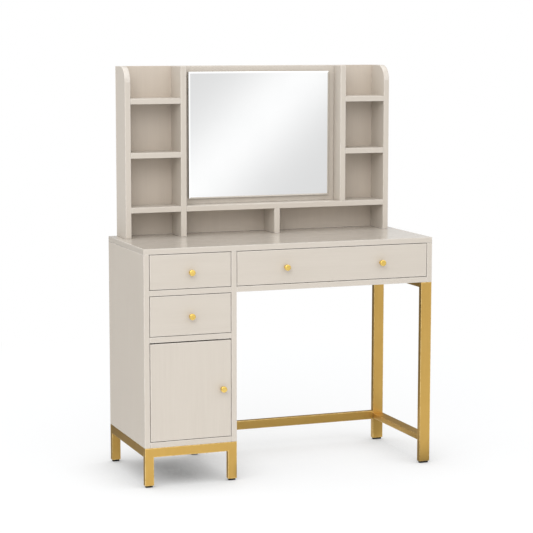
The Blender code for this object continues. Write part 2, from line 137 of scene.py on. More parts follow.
# %% [markdown]
# ## Effects that several finishes share
#
# Every piece carries two marks on its points, which the shape helpers below write:
#
# * `place` is where a point lies along the grain, across it and through the thickness, in metres,
#   with an offset of its own for each board, so that no two boards show the same pattern.
# * `edge` is 1 on an eased edge and falls to 0 a little way inside.
#
# The groups turn those marks into masks. `grain` is a streaky tone, long along the board and short
# across it. `mottle` is a soft cloudy tone with fine speckle. `edge_wear_and_highlight` breaks the
# edge mark up with noise, because a real edge never wears evenly; on the boards and the metals the
# same mask also lays a painted highlight along the edges. `dust` gathers on what faces up, and also
# gives out a plain mask of how far a surface faces up, which the desktop uses for a painted shade.

# %% Grain and mottle groups
FLOAT, VECTOR = "NodeSocketFloat", "NodeSocketVector"
LONG_STREAKS, BROAD_STREAKS = (0.012, 1.0, 1.0), (0.05, 1.0, 1.0)


def noise(tree, place, scale, detail, **more):
    """Noise at a place. Returns its socket."""
    sockets = {"Vector": place, "Scale": scale, "Detail": detail, **more}
    return add_node(tree, "ShaderNodeTexNoise", {}, sockets).outputs["Fac"]


def grain_group():
    """Long streaks along the first axis of the place."""
    inputs = [("Place", VECTOR, None), ("Streak Scale", FLOAT, 900.0), ("Detail", FLOAT, 4.0)]
    tree, start, end = new_group("grain", inputs, [("Tone", FLOAT), ("Height", FLOAT)])
    place = start.outputs["Place"]
    streaks = noise(
        tree, scaled(tree, place, LONG_STREAKS), start.outputs["Streak Scale"], start.outputs["Detail"],
        Roughness=0.55)
    broad = noise(tree, scaled(tree, place, BROAD_STREAKS), 55.0, 2.0, Distortion=0.4)
    mixed = add_node(tree, "ShaderNodeMix", {}, {"Factor": 0.4, "A": streaks, "B": broad}).outputs[0]
    tree.links.new(mixed, end.inputs["Tone"])
    tree.links.new(streaks, end.inputs["Height"])
    return tree


def mottle_group():
    """Cloudy tone and fine speckle that have no direction."""
    inputs = [("Place", VECTOR, None), ("Cloud Scale", FLOAT, 7.0), ("Speckle Scale", FLOAT, 1400.0)]
    tree, start, end = new_group("mottle", inputs, [("Cloud", FLOAT), ("Speckle", FLOAT)])
    for output, scale, detail in (("Cloud", "Cloud Scale", 3.0), ("Speckle", "Speckle Scale", 2.0)):
        tone = noise(tree, start.outputs["Place"], start.outputs[scale], detail)
        tree.links.new(tone, end.inputs[output])
    return tree


GRAIN, MOTTLE = grain_group(), mottle_group()
print("groups", GRAIN.name, MOTTLE.name)

# %% Edge wear and highlight, and dust groups
BREAK_RANGE = {"From Min": 0.35, "From Max": 0.62, "To Min": 0.25, "To Max": 1.0}
FACING_START = 0.6


def edge_wear_and_highlight_group():
    """The edge mark, broken up by noise."""
    inputs = [("Place", VECTOR, None), ("Edge", FLOAT, 0.0), ("Break Scale", FLOAT, 60.0)]
    tree, start, end = new_group("edge_wear_and_highlight", inputs, [("Mask", FLOAT)])
    broken = noise(tree, start.outputs["Place"], start.outputs["Break Scale"], 4.0)
    spread = add_node(
        tree, "ShaderNodeMapRange", {"interpolation_type": "SMOOTHSTEP"},
        {"Value": broken, **BREAK_RANGE}).outputs["Result"]
    tree.links.new(math_node(tree, "MULTIPLY", spread, start.outputs["Edge"]), end.inputs["Mask"])
    return tree


def dust_group():
    """A thin veil on what faces up."""
    inputs = [("Place", VECTOR, None), ("Amount", FLOAT, 0.2)]
    tree, start, end = new_group("dust", inputs, [("Mask", FLOAT), ("Facing", FLOAT)])
    normal = add_node(tree, "ShaderNodeNewGeometry").outputs["Normal"]
    upward = add_node(tree, "ShaderNodeSeparateXYZ", {}, {0: normal}).outputs["Z"]
    facing = add_node(
        tree, "ShaderNodeMapRange", {},
        {"Value": upward, "From Min": FACING_START, "From Max": 1.0}).outputs[0]
    veil = math_node(tree, "MULTIPLY", facing, noise(tree, start.outputs["Place"], 35.0, 6.0))
    tree.links.new(math_node(tree, "MULTIPLY", veil, start.outputs["Amount"]), end.inputs["Mask"])
    tree.links.new(facing, end.inputs["Facing"])
    return tree


EDGE_WEAR_AND_HIGHLIGHT, DUST = edge_wear_and_highlight_group(), dust_group()
print("groups", EDGE_WEAR_AND_HIGHLIGHT.name, DUST.name)

# %% [markdown]
# ## Starting a material
#
# Each finish starts the same way: a Principled shader, and the two marks read as attributes. What
# is the same all over the surface goes straight on the shader's own sockets. Only what changes
# over the surface is linked.

# %% Material helpers
def start_material(name, constants):
    """Make a material with the piece's marks ready to use, and return its parts."""
    made = bpy.data.materials.new(name)
    made.use_nodes = True
    tree = made.node_tree
    shader = tree.nodes["Principled BSDF"]
    for socket, value in constants.items():
        shader.inputs[socket].default_value = value
    place = add_node(tree, "ShaderNodeAttribute", {"attribute_name": "place"}).outputs["Vector"]
    edge = add_node(tree, "ShaderNodeAttribute", {"attribute_name": "edge"}).outputs["Fac"]
    return made, tree, shader, place, edge


def use_group(tree, group, sockets):
    """Put a node group in a material with values of its own."""
    return add_node(tree, "ShaderNodeGroup", {"node_tree": group}, sockets).outputs


def blend_colours(tree, factor, first, second):
    """Mix two colours by a mask and return the colour's socket."""
    mix = add_node(tree, "ShaderNodeMix", {"data_type": "RGBA"})
    for index, value in ((0, factor), (6, first), (7, second)):
        if isinstance(value, bpy.types.NodeSocket):
            tree.links.new(value, mix.inputs[index])
        elif index:
            mix.inputs[index].default_value = (*value, 1.0)
        else:
            mix.inputs[index].default_value = value
    return mix.outputs[2]


def ranged(tree, value, low, high, to_low, to_high):
    """Stretch part of a value's range to another range and return its socket."""
    sockets = {"Value": value, "From Min": low, "From Max": high, "To Min": to_low, "To Max": to_high}
    return add_node(tree, "ShaderNodeMapRange", {}, sockets).outputs["Result"]


def bump(tree, shader, height, distance, strength=1.0):
    """Raise the surface a little by a height."""
    sockets = {"Height": height, "Distance": distance, "Strength": strength}
    made = add_node(tree, "ShaderNodeBump", {}, sockets)
    tree.links.new(made.outputs["Normal"], shader.inputs["Normal"])


print("material helpers ready")

# %% [markdown]
# ## The greige board finish
#
# The boards are coated in a warm grey beige with a whisper of wood grain printed in it. The tone
# wanders by only a few per cent, so two close colours are mixed by the grain, then a cloudy tone
# shifts the result again, and the eased edges are a touch lighter, partly where the coat is thin
# and partly as a painted highlight. Roughness follows the same streaks, which is what makes a
# sheen look printed and pressed and not sprayed. The desktop is smoother than the rest, and its
# upper face carries a painted shade in a deeper tone. The backs are painted a little warmer and
# darker, as painted shade for the deep bays, and the drawers are lined with a paler, plainer board.

# %% Board finishes
# the deeper tone of the painted shade on the desktop's upper face
TOP_SHADE_TONE = (0.300, 0.270, 0.235)
GREIGE_DARK = (0.520, 0.470, 0.410)
GREIGE_LIGHT = (0.560, 0.510, 0.447)
# the boards' edge tone: partly a thin coat, partly a painted highlight
GREIGE_WORN_LIT_EDGE = (0.625, 0.580, 0.525)
DUST_TONE, DUST_AMOUNT = (0.80, 0.79, 0.77), 0.10


def board_finish(name, dark, light, edge_tone, rough, grain_depth, sheen_spread=0.05,
                 streak_scale=700.0, shine=0.35, painted_top_shade=0.0):
    """A pressed board: streaked colour, streaked sheen and a very shallow grain, with an optional painted
    shade on its upper face.
    """
    made, tree, shader, place, edge = start_material(name, {"Specular IOR Level": shine})
    grain = use_group(tree, GRAIN, {"Place": place, "Streak Scale": streak_scale, "Detail": 5.0})
    mottle = use_group(tree, MOTTLE, {"Place": place, "Cloud Scale": 5.0, "Speckle Scale": 1100.0})
    wear_and_highlight = use_group(tree, EDGE_WEAR_AND_HIGHLIGHT, {"Place": place, "Edge": edge, "Break Scale": 45.0})
    dust = use_group(tree, DUST, {"Place": place, "Amount": DUST_AMOUNT})
    tone = ranged(tree, grain["Tone"], 0.32, 0.68, 0.0, 1.0)
    streaked = blend_colours(tree, tone, dark, light)
    cloudy = ranged(tree, mottle["Cloud"], 0.3, 0.7, 0.0, 0.35)
    clouded = blend_colours(tree, cloudy, streaked, light)
    # the broken edge mask lightens the eased edges: partly a thin coat, partly a painted highlight
    worn_and_highlit = blend_colours(tree, wear_and_highlight["Mask"], clouded, edge_tone)
    dusty = blend_colours(tree, dust["Mask"], worn_and_highlit, DUST_TONE)
    # painted shade: the upper face is mixed towards a deeper tone by how far it faces up
    top_shade_mask = math_node(tree, "MULTIPLY", dust["Facing"], painted_top_shade)
    tree.links.new(blend_colours(tree, top_shade_mask, dusty, TOP_SHADE_TONE), shader.inputs["Base Color"])
    sheen = ranged(tree, grain["Tone"], 0.3, 0.7, rough - sheen_spread, rough + sheen_spread)
    speckled = math_node(tree, "ADD", sheen, ranged(tree, mottle["Speckle"], 0.3, 0.7, -0.02, 0.02))
    tree.links.new(math_node(tree, "ADD", speckled, dust["Mask"]), shader.inputs["Roughness"])
    bump(tree, shader, grain["Height"], grain_depth, 0.6)
    return made


GREIGE_BOARD = board_finish("greige_board", GREIGE_DARK, GREIGE_LIGHT, GREIGE_WORN_LIT_EDGE, 0.46, 0.00008)
GREIGE_TOP = board_finish(
    "greige_desktop", GREIGE_DARK, GREIGE_LIGHT, GREIGE_WORN_LIT_EDGE, 0.17, 0.00002, 0.02, shine=0.5, painted_top_shade=0.24)
# painted shade: the back panels get a warmer, darker greige that stands in for the shade deep in the bays
SHADED_BACK_GREIGE = board_finish(
    "greige_back_panel", (0.516, 0.453, 0.386), (0.555, 0.490, 0.418), (0.60, 0.54, 0.47), 0.52, 0.00010)
DRAWER_BOARD = board_finish(
    "drawer_lining", (0.60, 0.55, 0.48), (0.66, 0.61, 0.54), (0.55, 0.50, 0.43), 0.58, 0.00012, 0.06, 420.0)
print("board finishes", GREIGE_BOARD.name, GREIGE_TOP.name, SHADED_BACK_GREIGE.name, DRAWER_BOARD.name)

# %% [markdown]
# ## The metals
#
# The base is flat-sided tube with a satin gold coat. Fine lines run along each tube, the coat is
# cloudy at the scale of a hand, and the eased corners are brighter, partly rubbed and partly a
# painted highlight. The knobs are a brighter gold, turned and polished, so their lines run round
# and the roughness is low. The runners and screws are zinc plated steel, which has a cool grey,
# patchy look, and the door's pins are dark and oiled.

# %% Metal finishes
def metal_finish(name, dark, light, edge_tone, rough, spread, line_scale, line_depth):
    """A drawn or brushed metal: fine lines along the piece, cloudy tone, and bright corners that are partly
    wear and partly a painted highlight.
    """
    made, tree, shader, place, edge = start_material(name, {"Metallic": 1.0})
    lines = use_group(tree, GRAIN, {"Place": place, "Streak Scale": line_scale, "Detail": 6.0})
    mottle = use_group(tree, MOTTLE, {"Place": place, "Cloud Scale": 14.0, "Speckle Scale": 2200.0})
    wear_and_highlight = use_group(tree, EDGE_WEAR_AND_HIGHLIGHT, {"Place": place, "Edge": edge, "Break Scale": 120.0})
    tone = ranged(tree, lines["Tone"], 0.3, 0.7, 0.0, 1.0)
    streaked = blend_colours(tree, tone, dark, light)
    clouded = blend_colours(tree, ranged(tree, mottle["Cloud"], 0.35, 0.7, 0.0, 0.5), streaked, dark)
    # the broken edge mask brightens the corners: partly wear, partly a painted highlight
    worn_and_highlit = blend_colours(tree, wear_and_highlight["Mask"], clouded, edge_tone)
    tree.links.new(worn_and_highlit, shader.inputs["Base Color"])
    satin = ranged(tree, mottle["Cloud"], 0.3, 0.7, rough - spread, rough + spread)
    lined = math_node(tree, "ADD", satin, ranged(tree, lines["Tone"], 0.3, 0.7, -spread, spread))
    tree.links.new(lined, shader.inputs["Roughness"])
    bump(tree, shader, lines["Height"], line_depth, 0.5)
    return made


SATIN_GOLD = metal_finish(
    "satin_gold", (0.60, 0.375, 0.100), (0.68, 0.437, 0.129), (0.85, 0.62, 0.26), 0.42, 0.04, 1500.0, 0.00004)
POLISHED_GOLD = metal_finish(
    "polished_gold", (0.88, 0.605, 0.15), (0.95, 0.680, 0.20), (0.97, 0.78, 0.36),
    0.14, 0.03, 2600.0, 0.00001)
ZINC_STEEL = metal_finish(
    "zinc_plated_steel", (0.46, 0.47, 0.49), (0.60, 0.61, 0.62), (0.74, 0.74, 0.74),
    0.36, 0.06, 900.0, 0.00004)
OILED_STEEL = metal_finish(
    "oiled_steel", (0.095, 0.090, 0.086), (0.145, 0.140, 0.134), (0.24, 0.23, 0.22),
    0.42, 0.06, 700.0, 0.00004)
print("metal finishes", SATIN_GOLD.name, POLISHED_GOLD.name, ZINC_STEEL.name, OILED_STEEL.name)

# %% [markdown]
# ## Rubber, plastic, backing and mirror
#
# The feet are black rubber and the catch is a moulded plastic, which differ mostly in how rough
# and how speckled they are. The mirror is a sheet of silvered glass: almost nothing but
# reflection, with the faintest haze where it has been wiped. Behind it is a dark pressed backing.

# %% Other finishes
def moulded_finish(name, dark, light, edge_tone, rough, speckle_scale, depth, specular=0.4):
    """A moulded or pressed material with a speckled skin."""
    made, tree, shader, place, edge = start_material(name, {"Specular IOR Level": specular})
    mottle = use_group(tree, MOTTLE, {"Place": place, "Cloud Scale": 30.0, "Speckle Scale": speckle_scale})
    wear_and_highlight = use_group(tree, EDGE_WEAR_AND_HIGHLIGHT, {"Place": place, "Edge": edge, "Break Scale": 200.0})
    speckled = blend_colours(tree, ranged(tree, mottle["Speckle"], 0.3, 0.7, 0.0, 1.0), dark, light)
    tree.links.new(blend_colours(tree, wear_and_highlight["Mask"], speckled, edge_tone), shader.inputs["Base Color"])
    rough_link = ranged(tree, mottle["Cloud"], 0.3, 0.7, rough - 0.06, rough + 0.06)
    tree.links.new(rough_link, shader.inputs["Roughness"])
    bump(tree, shader, mottle["Speckle"], depth)
    return made


def mirror_finish():
    """Silvered glass with a trace of haze, and a painted highlight that brightens the sloped edge a little.
    """
    made, tree, shader, place, edge = start_material("silvered_glass", {"Metallic": 1.0})
    mottle = use_group(tree, MOTTLE, {"Place": place, "Cloud Scale": 6.0, "Speckle Scale": 600.0})
    haze = ranged(tree, mottle["Cloud"], 0.45, 0.75, 0.0, 1.0)
    silver = blend_colours(tree, haze, (0.955, 0.960, 0.962), (0.935, 0.942, 0.945))
    # painted highlight: the edge mark mixes the silver towards a brighter tone on the sloped edge
    tree.links.new(blend_colours(tree, edge, silver, (0.97, 0.98, 0.98)), shader.inputs["Base Color"])
    tree.links.new(ranged(tree, haze, 0.0, 1.0, 0.010, 0.022), shader.inputs["Roughness"])
    return made


BLACK_RUBBER = moulded_finish(
    "black_rubber", (0.007, 0.007, 0.007), (0.014, 0.014, 0.013), (0.024, 0.024, 0.024),
    0.80, 2400.0, 0.00008, specular=0.15)
DARK_PLASTIC = moulded_finish(
    "dark_plastic", (0.085, 0.078, 0.070), (0.120, 0.110, 0.100), (0.18, 0.17, 0.16), 0.48, 3000.0, 0.00003)
DARK_BACKING = moulded_finish(
    "dark_backing", (0.120, 0.104, 0.088), (0.190, 0.168, 0.142), (0.24, 0.21, 0.18), 0.72, 1300.0, 0.00008)
SILVERED_GLASS = mirror_finish()
print("other finishes", BLACK_RUBBER.name, DARK_PLASTIC.name, DARK_BACKING.name, SILVERED_GLASS.name)

# %% [markdown]
# ## Shape helpers
#
# Nothing on a real table has a knife edge. `ease_edges` rounds every sharp edge of a shape, then
# draws a second outline a few millimetres inside each flat face. That second outline does two
# jobs: it keeps the shading of the flat face flat, and it is where the `edge` mark falls to 0.
# `mark_grain` writes the grain mark. A shape is finished by `to_piece`, which gives it a name, a
# finish and the body that it rides on.

# %% Boxes and eased edges
EASE = 0.0008
BAND = 0.0022
SHARP_ANGLE = math.radians(40)
FLAT_ENOUGH, WIDE_ENOUGH = 1e-6, 3.5
AXES = {"X": (0, 1, 2), "Y": (1, 0, 2), "Z": (2, 0, 1)}


def box_shape(low, high):
    """A plain box between two corners."""
    shape = bmesh.new()
    bmesh.ops.create_cube(shape, size=1.0)
    low, size = Vector(low), Vector(high) - Vector(low)
    for corner in shape.verts:
        corner.co = [low[i] + (corner.co[i] + 0.5) * size[i] for i in range(3)]
    return shape


def ease_edges(shape, ease=EASE, band=BAND, segments=3):
    """Round the sharp edges and mark how near each point is to one."""
    sharp = [edge for edge in shape.edges if edge.calc_face_angle(0.0) > SHARP_ANGLE]
    bmesh.ops.bevel(
        shape, geom=sharp, offset=ease, segments=segments, profile=0.5, affect="EDGES", clamp_overlap=True)
    mark = shape.verts.layers.float.new("edge")
    for corner in shape.verts:
        corner[mark] = 1.0
    flat = []
    for face in shape.faces:
        spans = sorted(max(c.co[i] for c in face.verts) - min(c.co[i] for c in face.verts) for i in range(3))
        if spans[0] < FLAT_ENOUGH and spans[1] > WIDE_ENOUGH * band:
            flat.append(face)
    bmesh.ops.inset_individual(shape, faces=flat, thickness=band, use_even_offset=True)
    for face in flat:
        for corner in face.verts:
            corner[mark] = 0.0
    return shape


print("easing", EASE, "band", BAND)

# %% Marks and pieces
def mark_grain(shape, name, grain):
    """Write each point's place along the grain, across it and through it."""
    draw = random.Random(name)
    offset = Vector([draw.uniform(0.0, 9.0) for _ in range(3)])
    layers = shape.verts.layers.float_vector
    mark = layers.get("place") or layers.new("place")
    for corner in shape.verts:
        corner[mark] = Vector([corner.co[i] for i in AXES[grain]]) + offset
    return shape


def to_mesh(shape, name):
    """Turn a shape into mesh data and let the shape go."""
    mesh = bpy.data.meshes.new(name)
    shape.to_mesh(mesh)
    shape.free()
    return mesh


def join_shapes(shapes):
    """Put several shapes into one, keeping their marks."""
    whole = bmesh.new()
    for shape in shapes:
        mesh = to_mesh(shape, "part")
        whole.from_mesh(mesh)
        bpy.data.meshes.remove(mesh)
    return whole


def to_piece(name, shape, finish, body, nodes=()):
    """Turn a shape into a finished piece that rides on a body and stands for its CAD nodes."""
    mesh = to_mesh(shape, name)
    mesh.shade_smooth()
    mesh.materials.append(finish)
    piece = bpy.data.objects.new(name, mesh)
    SCENE.collection.objects.link(piece)
    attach(piece, body)
    if nodes:
        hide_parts(*nodes)
    return piece


def eased_box(name, low, high, grain, ease=EASE, band=BAND):
    """A box with eased edges and its marks."""
    return mark_grain(ease_edges(box_shape(low, high), ease, band), name, grain)


def box_piece(name, ends, grain, finish, body, nodes=(), eases=(EASE, BAND)):
    """A finished piece that is one eased box between two ends."""
    return to_piece(name, eased_box(name, *ends, grain, *eases), finish, body, nodes)


def node_middle(node):
    """The middle of a CAD node's box."""
    low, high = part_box(node)
    return (low + high) / 2.0


print("pieces can be made")

# %% [markdown]
# ## The boards
#
# Most of the table is flat board, cut square, with a thin band glued round its edges and the
# corners of the band eased. Each row of the list names the new piece, the CAD node it stands for
# and the way its grain runs. Uprights carry their grain up and down, and shelves and fronts carry
# it from side to side, as they are cut from the sheet. A drawer's face rides on that drawer.

# %% Flat boards
BOARD_ROWS = [
    ("desktop_slab", "desktop", "X"),
    ("pedestal_left_side", "pedestal_left_panel", "Z"),
    ("pedestal_right_side", "pedestal_right_panel", "Z"),
    ("pedestal_rail", "drawer_rail_board", "X"),
    ("apron_end", "apron_side_panel", "Y"),
    ("apron_floor", "apron_bottom", "X"),
    ("apron_rear", "apron_back", "X"),
    ("upper_drawer_face", "upper_drawer_front", "X"),
    ("middle_drawer_face", "middle_drawer_front", "X"),
    ("wide_drawer_face", "wide_drawer_front", "X"),
    ("left_divider", "hutch_left_divider", "Z"),
    ("right_divider", "hutch_right_divider", "Z"),
    ("small_divider", "hutch_small_divider", "Z"),
    ("wide_shelf", "long_shelf", "X"),
    ("mirror_panel", "mirror_board", "Z"),
    ("left_top_shelf", "left_shelf_1", "X"),
    ("left_middle_shelf", "left_shelf_2", "X"),
    ("left_low_shelf", "left_shelf_3", "X"),
    ("right_top_shelf", "right_shelf_1", "X"),
    ("right_low_shelf", "right_shelf_2", "X"),
]
DRAWERS = ("upper_drawer", "middle_drawer", "wide_drawer")

for piece_name, node, grain in BOARD_ROWS:
    body = next((drawer for drawer in DRAWERS if node == f"{drawer}_front"), "table")
    finish = GREIGE_TOP if node == "desktop" else GREIGE_BOARD
    box_piece(piece_name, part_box(node), grain, finish, body, [node])
print("flat boards", len(BOARD_ROWS))

# %% [markdown]
# ## The rounded outer panels of the hutch
#
# The two outer panels end in a quarter round at the top of their front edge. A flat outline with
# an arc in it, pushed out to the panel's thickness, gives exactly that shape. The edge band wraps
# over the round, so the easing follows the arc as well.

# %% Rounded panels
HUTCH_ROUND = 0.050
ARC_STEPS = 16


def rounded_outline(low, high, radius):
    """The panel's outline in depth and height, with the front top corner rounded."""
    outline = [(high.y, low.z), (high.y, high.z)]
    for step in range(ARC_STEPS + 1):
        angle = math.radians(90.0) * step / ARC_STEPS
        outline.append((low.y + radius * (1.0 - math.sin(angle)), high.z - radius * (1.0 - math.cos(angle))))
    outline.append((low.y, low.z))
    return outline


def push_out(outline, to_point, reach):
    """Make a solid by pushing a flat outline along a vector."""
    shape = bmesh.new()
    face = shape.faces.new([shape.verts.new(to_point(*pair)) for pair in outline])
    pushed = bmesh.ops.extrude_face_region(shape, geom=[face])
    moved = [item for item in pushed["geom"] if isinstance(item, bmesh.types.BMVert)]
    bmesh.ops.translate(shape, vec=reach, verts=moved)
    bmesh.ops.recalc_face_normals(shape, faces=shape.faces)
    return shape


for side in ("left", "right"):
    node = f"hutch_{side}_panel"
    low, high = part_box(node)
    outline = rounded_outline(low, high, HUTCH_ROUND)
    panel = push_out(outline, lambda y, z: (low.x, y, z), Vector((high.x - low.x, 0.0, 0.0)))
    name = f"{side}_outer_panel"
    to_piece(name, mark_grain(ease_edges(panel), name, "Z"), GREIGE_BOARD, "table", [node])
print("rounded panels 2")

# %% [markdown]
# ## The metal base
#
# Each base frame is welded from rectangular tube, and the welds at the front and the back are ground
# flat before the gold coat goes on, so no line shows there. That is why two legs and the rail
# between them are made as one portal: a flat outline like a doorway, pushed out to the tube's
# depth. The rails that run from front to back are separate tubes between two portals, and the
# fine line where they meet a leg is how a weld in a corner looks.

# %% Tubes and portals
TUBE_EASE = 0.0012
TUBE_BAND = 0.0020
WELD_GAP = 0.0001
TUBE_WIDE, TUBE_NARROW = 0.030, 0.018
STRETCHER_BASE = 0.078


def tube(name, low, high, grain):
    """One length of tube, with rounder corners than a board has."""
    return eased_box(name, low, high, grain, TUBE_EASE, TUBE_BAND)


def portal(name, start, end, foot, top, leg, rail, to_point, reach):
    """Two legs and the rail over them, as one outline pushed out."""
    outline = [
        (start, foot), (start, top), (end, top), (end, foot), (end - leg, foot), (end - leg, top - rail),
        (start + leg, top - rail), (start + leg, foot),
    ]
    shape = ease_edges(push_out(outline, to_point, Vector(reach)), TUBE_EASE, TUBE_BAND)
    return mark_grain(shape, name, "Z")


print("tube", TUBE_WIDE, "by", TUBE_NARROW)

# %% Base frames
low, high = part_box("pedestal_base_frame")
rail_base = high.z - TUBE_WIDE
front, rear = low.y + TUBE_NARROW + WELD_GAP, high.y - TUBE_NARROW - WELD_GAP
tubes = [
    portal(f"pedestal_portal_{end}", low.x, high.x, low.z, high.z, TUBE_WIDE, TUBE_WIDE,
           lambda x, z: (x, depth, z), (0.0, TUBE_NARROW, 0.0))
    for end, depth in (("front", low.y), ("rear", high.y - TUBE_NARROW))
]
for side, x in (("left", low.x), ("right", high.x - TUBE_NARROW)):
    tubes.append(tube(f"pedestal_rail_{side}", (x, front, rail_base), (x + TUBE_NARROW, rear, high.z), "Y"))
to_piece("pedestal_frame", join_shapes(tubes), SATIN_GOLD, "table", ["pedestal_base_frame"])

low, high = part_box("side_frame")
front, rear = low.y + TUBE_NARROW + WELD_GAP, high.y - TUBE_NARROW - WELD_GAP
tubes = [
    portal("side_portal", low.y, high.y, low.z, high.z, TUBE_NARROW, TUBE_NARROW,
           lambda y, z: (low.x, y, z), (high.x - low.x, 0.0, 0.0)),
    tube("side_stretcher", (low.x, front, STRETCHER_BASE), (high.x, rear, STRETCHER_BASE + TUBE_NARROW), "Y"),
]
to_piece("right_frame", join_shapes(tubes), SATIN_GOLD, "table", ["side_frame"])

low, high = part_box("rear_stretcher")
long_tube = tube("long_stretcher", low, high, "X")
to_piece("long_stretcher", long_tube, SATIN_GOLD, "table", ["rear_stretcher"])
print("base frames 2, stretcher 1")

# %% Feet
PAD_EASES = (0.0012, 0.0010)
for row in ("front", "back"):
    for column in ("left", "middle", "right"):
        node = f"foot_pad_{row}_{column}"
        pad = eased_box(node, *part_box(node), "X", *PAD_EASES)
        to_piece(f"{row}_{column}_foot", pad, BLACK_RUBBER, "table", [node])
print("feet 6")

# %% [markdown]
# ## The knobs
#
# A knob is turned on a lathe, so it is a profile spun round an axis. The profile is a foot that
# sits on the front, a waist, and a head with a rounded rim and a face that is very slightly
# domed.

# %% Lathe
KNOB_SIDES = 48
FORWARD, UPWARD = Vector((0.0, -1.0, 0.0)), Vector((0.0, 0.0, 1.0))


def join_rings(shape, rings):
    """Lay faces between each ring of points and the next. A ring may be a single point."""
    for inner, outer in zip(rings, rings[1:]):
        count = max(len(inner), len(outer))
        for step in range(count):
            after = (step + 1) % count
            corners = [inner[step % len(inner)], outer[step % len(outer)]]
            corners += [outer[after % len(outer)], inner[after % len(inner)]]
            shape.faces.new(list(dict.fromkeys(corners)))


def spin(profile, middle, name, along=FORWARD):
    """Spin a profile of (radius, reach) pairs round an axis that starts at a point."""
    shape = bmesh.new()
    mark = shape.verts.layers.float_vector.new("place")
    shape.verts.layers.float.new("edge")
    shift = random.Random(name).uniform(0.0, 9.0)
    across = along.orthogonal().normalized()
    beside = along.cross(across)
    rings = []
    for radius, reach in profile:
        ring = []
        for step in range(KNOB_SIDES if radius > 0.0 else 1):
            turn = 2.0 * math.pi * step / KNOB_SIDES
            out = radius * (math.cos(turn) * across + math.sin(turn) * beside)
            ring.append(shape.verts.new(middle + out + reach * along))
            ring[-1][mark] = (shift, radius + shift, reach)
        rings.append(ring)
    join_rings(shape, rings)
    bmesh.ops.recalc_face_normals(shape, faces=shape.faces)
    return shape


print("lathe ready")

# %% Knobs
KNOB_PROFILE = [
    (0.0, 0.0003), (0.0062, 0.0003), (0.0065, 0.0006), (0.0065, 0.0016), (0.0060, 0.0022),
    (0.0054, 0.0040), (0.0052, 0.0065), (0.0056, 0.0088), (0.0066, 0.0102), (0.0082, 0.0109),
    (0.0092, 0.0113), (0.0098, 0.0120), (0.0100, 0.0130), (0.0100, 0.0202), (0.0098, 0.0209),
    (0.0093, 0.0214), (0.0086, 0.0217), (0.0070, 0.0219), (0.0040, 0.02195), (0.0, 0.0220),
]

KNOB_ROWS = [
    ("upper_drawer_knob", "upper_drawer"),
    ("middle_drawer_knob", "middle_drawer"),
    ("wide_drawer_knob_left", "wide_drawer"),
    ("wide_drawer_knob_right", "wide_drawer"),
    ("door_knob", "door"),
]

for node, body in KNOB_ROWS:
    middle = node_middle(node)
    middle.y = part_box("desktop")[0].y
    name = node.replace("knob", "pull")
    to_piece(name, spin(KNOB_PROFILE, middle, name), POLISHED_GOLD, body, [node])
print("knobs", len(KNOB_ROWS))

# %% [markdown]
# ## Screw heads
#
# A flat-packed table is held together by screws with a hexagon socket, and their heads show on the
# inside and at the back. A head is a few rings: a round rim, a flat top, then the same number of
# points drawn in to a hexagon and pushed down. Because every ring has the same number of points,
# the faces between two rings are simple four-sided ones.

# %% Screw heads
HEAD_POINTS = 24
RIM_SHARE, SOCKET_SHARE, SOCKET_FLOOR = 0.9, 0.42, 0.1


def hexagon_reach(turn):
    """How far a hexagon's outline is from its middle, where its flats are 1 away."""
    sixth = math.pi / 3.0
    return 1.0 / math.cos((turn + sixth / 2.0) % sixth - sixth / 2.0)


def screw_head(place, facing, radius, height):
    """One screw head on a surface at a place, facing away from it."""
    shape = bmesh.new()
    shape.verts.layers.float_vector.new("place")
    mark = shape.verts.layers.float.new("edge")
    across = Vector(facing).orthogonal().normalized()
    beside = Vector(facing).cross(across)
    socket = radius * SOCKET_SHARE
    steps = [
        (radius, 0.0, 0.0, 0.0), (radius, 0.0, 0.5, 1.0), (RIM_SHARE * radius, 0.0, 1.0, 1.0),
        (0.0, socket, 1.0, 1.0), (0.0, socket, SOCKET_FLOOR, 0.0),
    ]
    rings = []
    for round_part, hexagon_part, rise, worn_and_highlit in steps:
        ring = []
        for step in range(HEAD_POINTS):
            turn = 2.0 * math.pi * step / HEAD_POINTS
            out = round_part + hexagon_part * hexagon_reach(turn)
            spread = out * (math.cos(turn) * across + math.sin(turn) * beside)
            ring.append(shape.verts.new(Vector(place) + spread + rise * height * Vector(facing)))
            ring[-1][mark] = worn_and_highlit
        rings.append(ring)
    join_rings(shape, rings)
    shape.faces.new(rings[0])
    shape.faces.new(rings[-1])
    bmesh.ops.recalc_face_normals(shape, faces=shape.faces)
    return shape


def screws(name, places, facing, radius, height, body="table"):
    """A set of screw heads as one piece."""
    heads = [screw_head(place, facing, radius, height) for place in places]
    return to_piece(name, mark_grain(join_shapes(heads), name, "Z"), ZINC_STEEL, body)


print("screw heads ready")

# %% [markdown]
# ## The door and the boards that it hangs between
#
# The door turns on two short steel pins, one at its foot and one at its head, close to the left
# edge. So the door, the board over it and the floor under it each have a blind bore. We ease the
# board first and drill it afterwards with a boolean, as a workshop would, and only then write the
# grain mark, so that the new points round the bore get theirs too.

# %% Drilled boards
BORE_PLAY = 0.0001
BORE_SIDES = 32
PIN_RADIUS = 0.0025


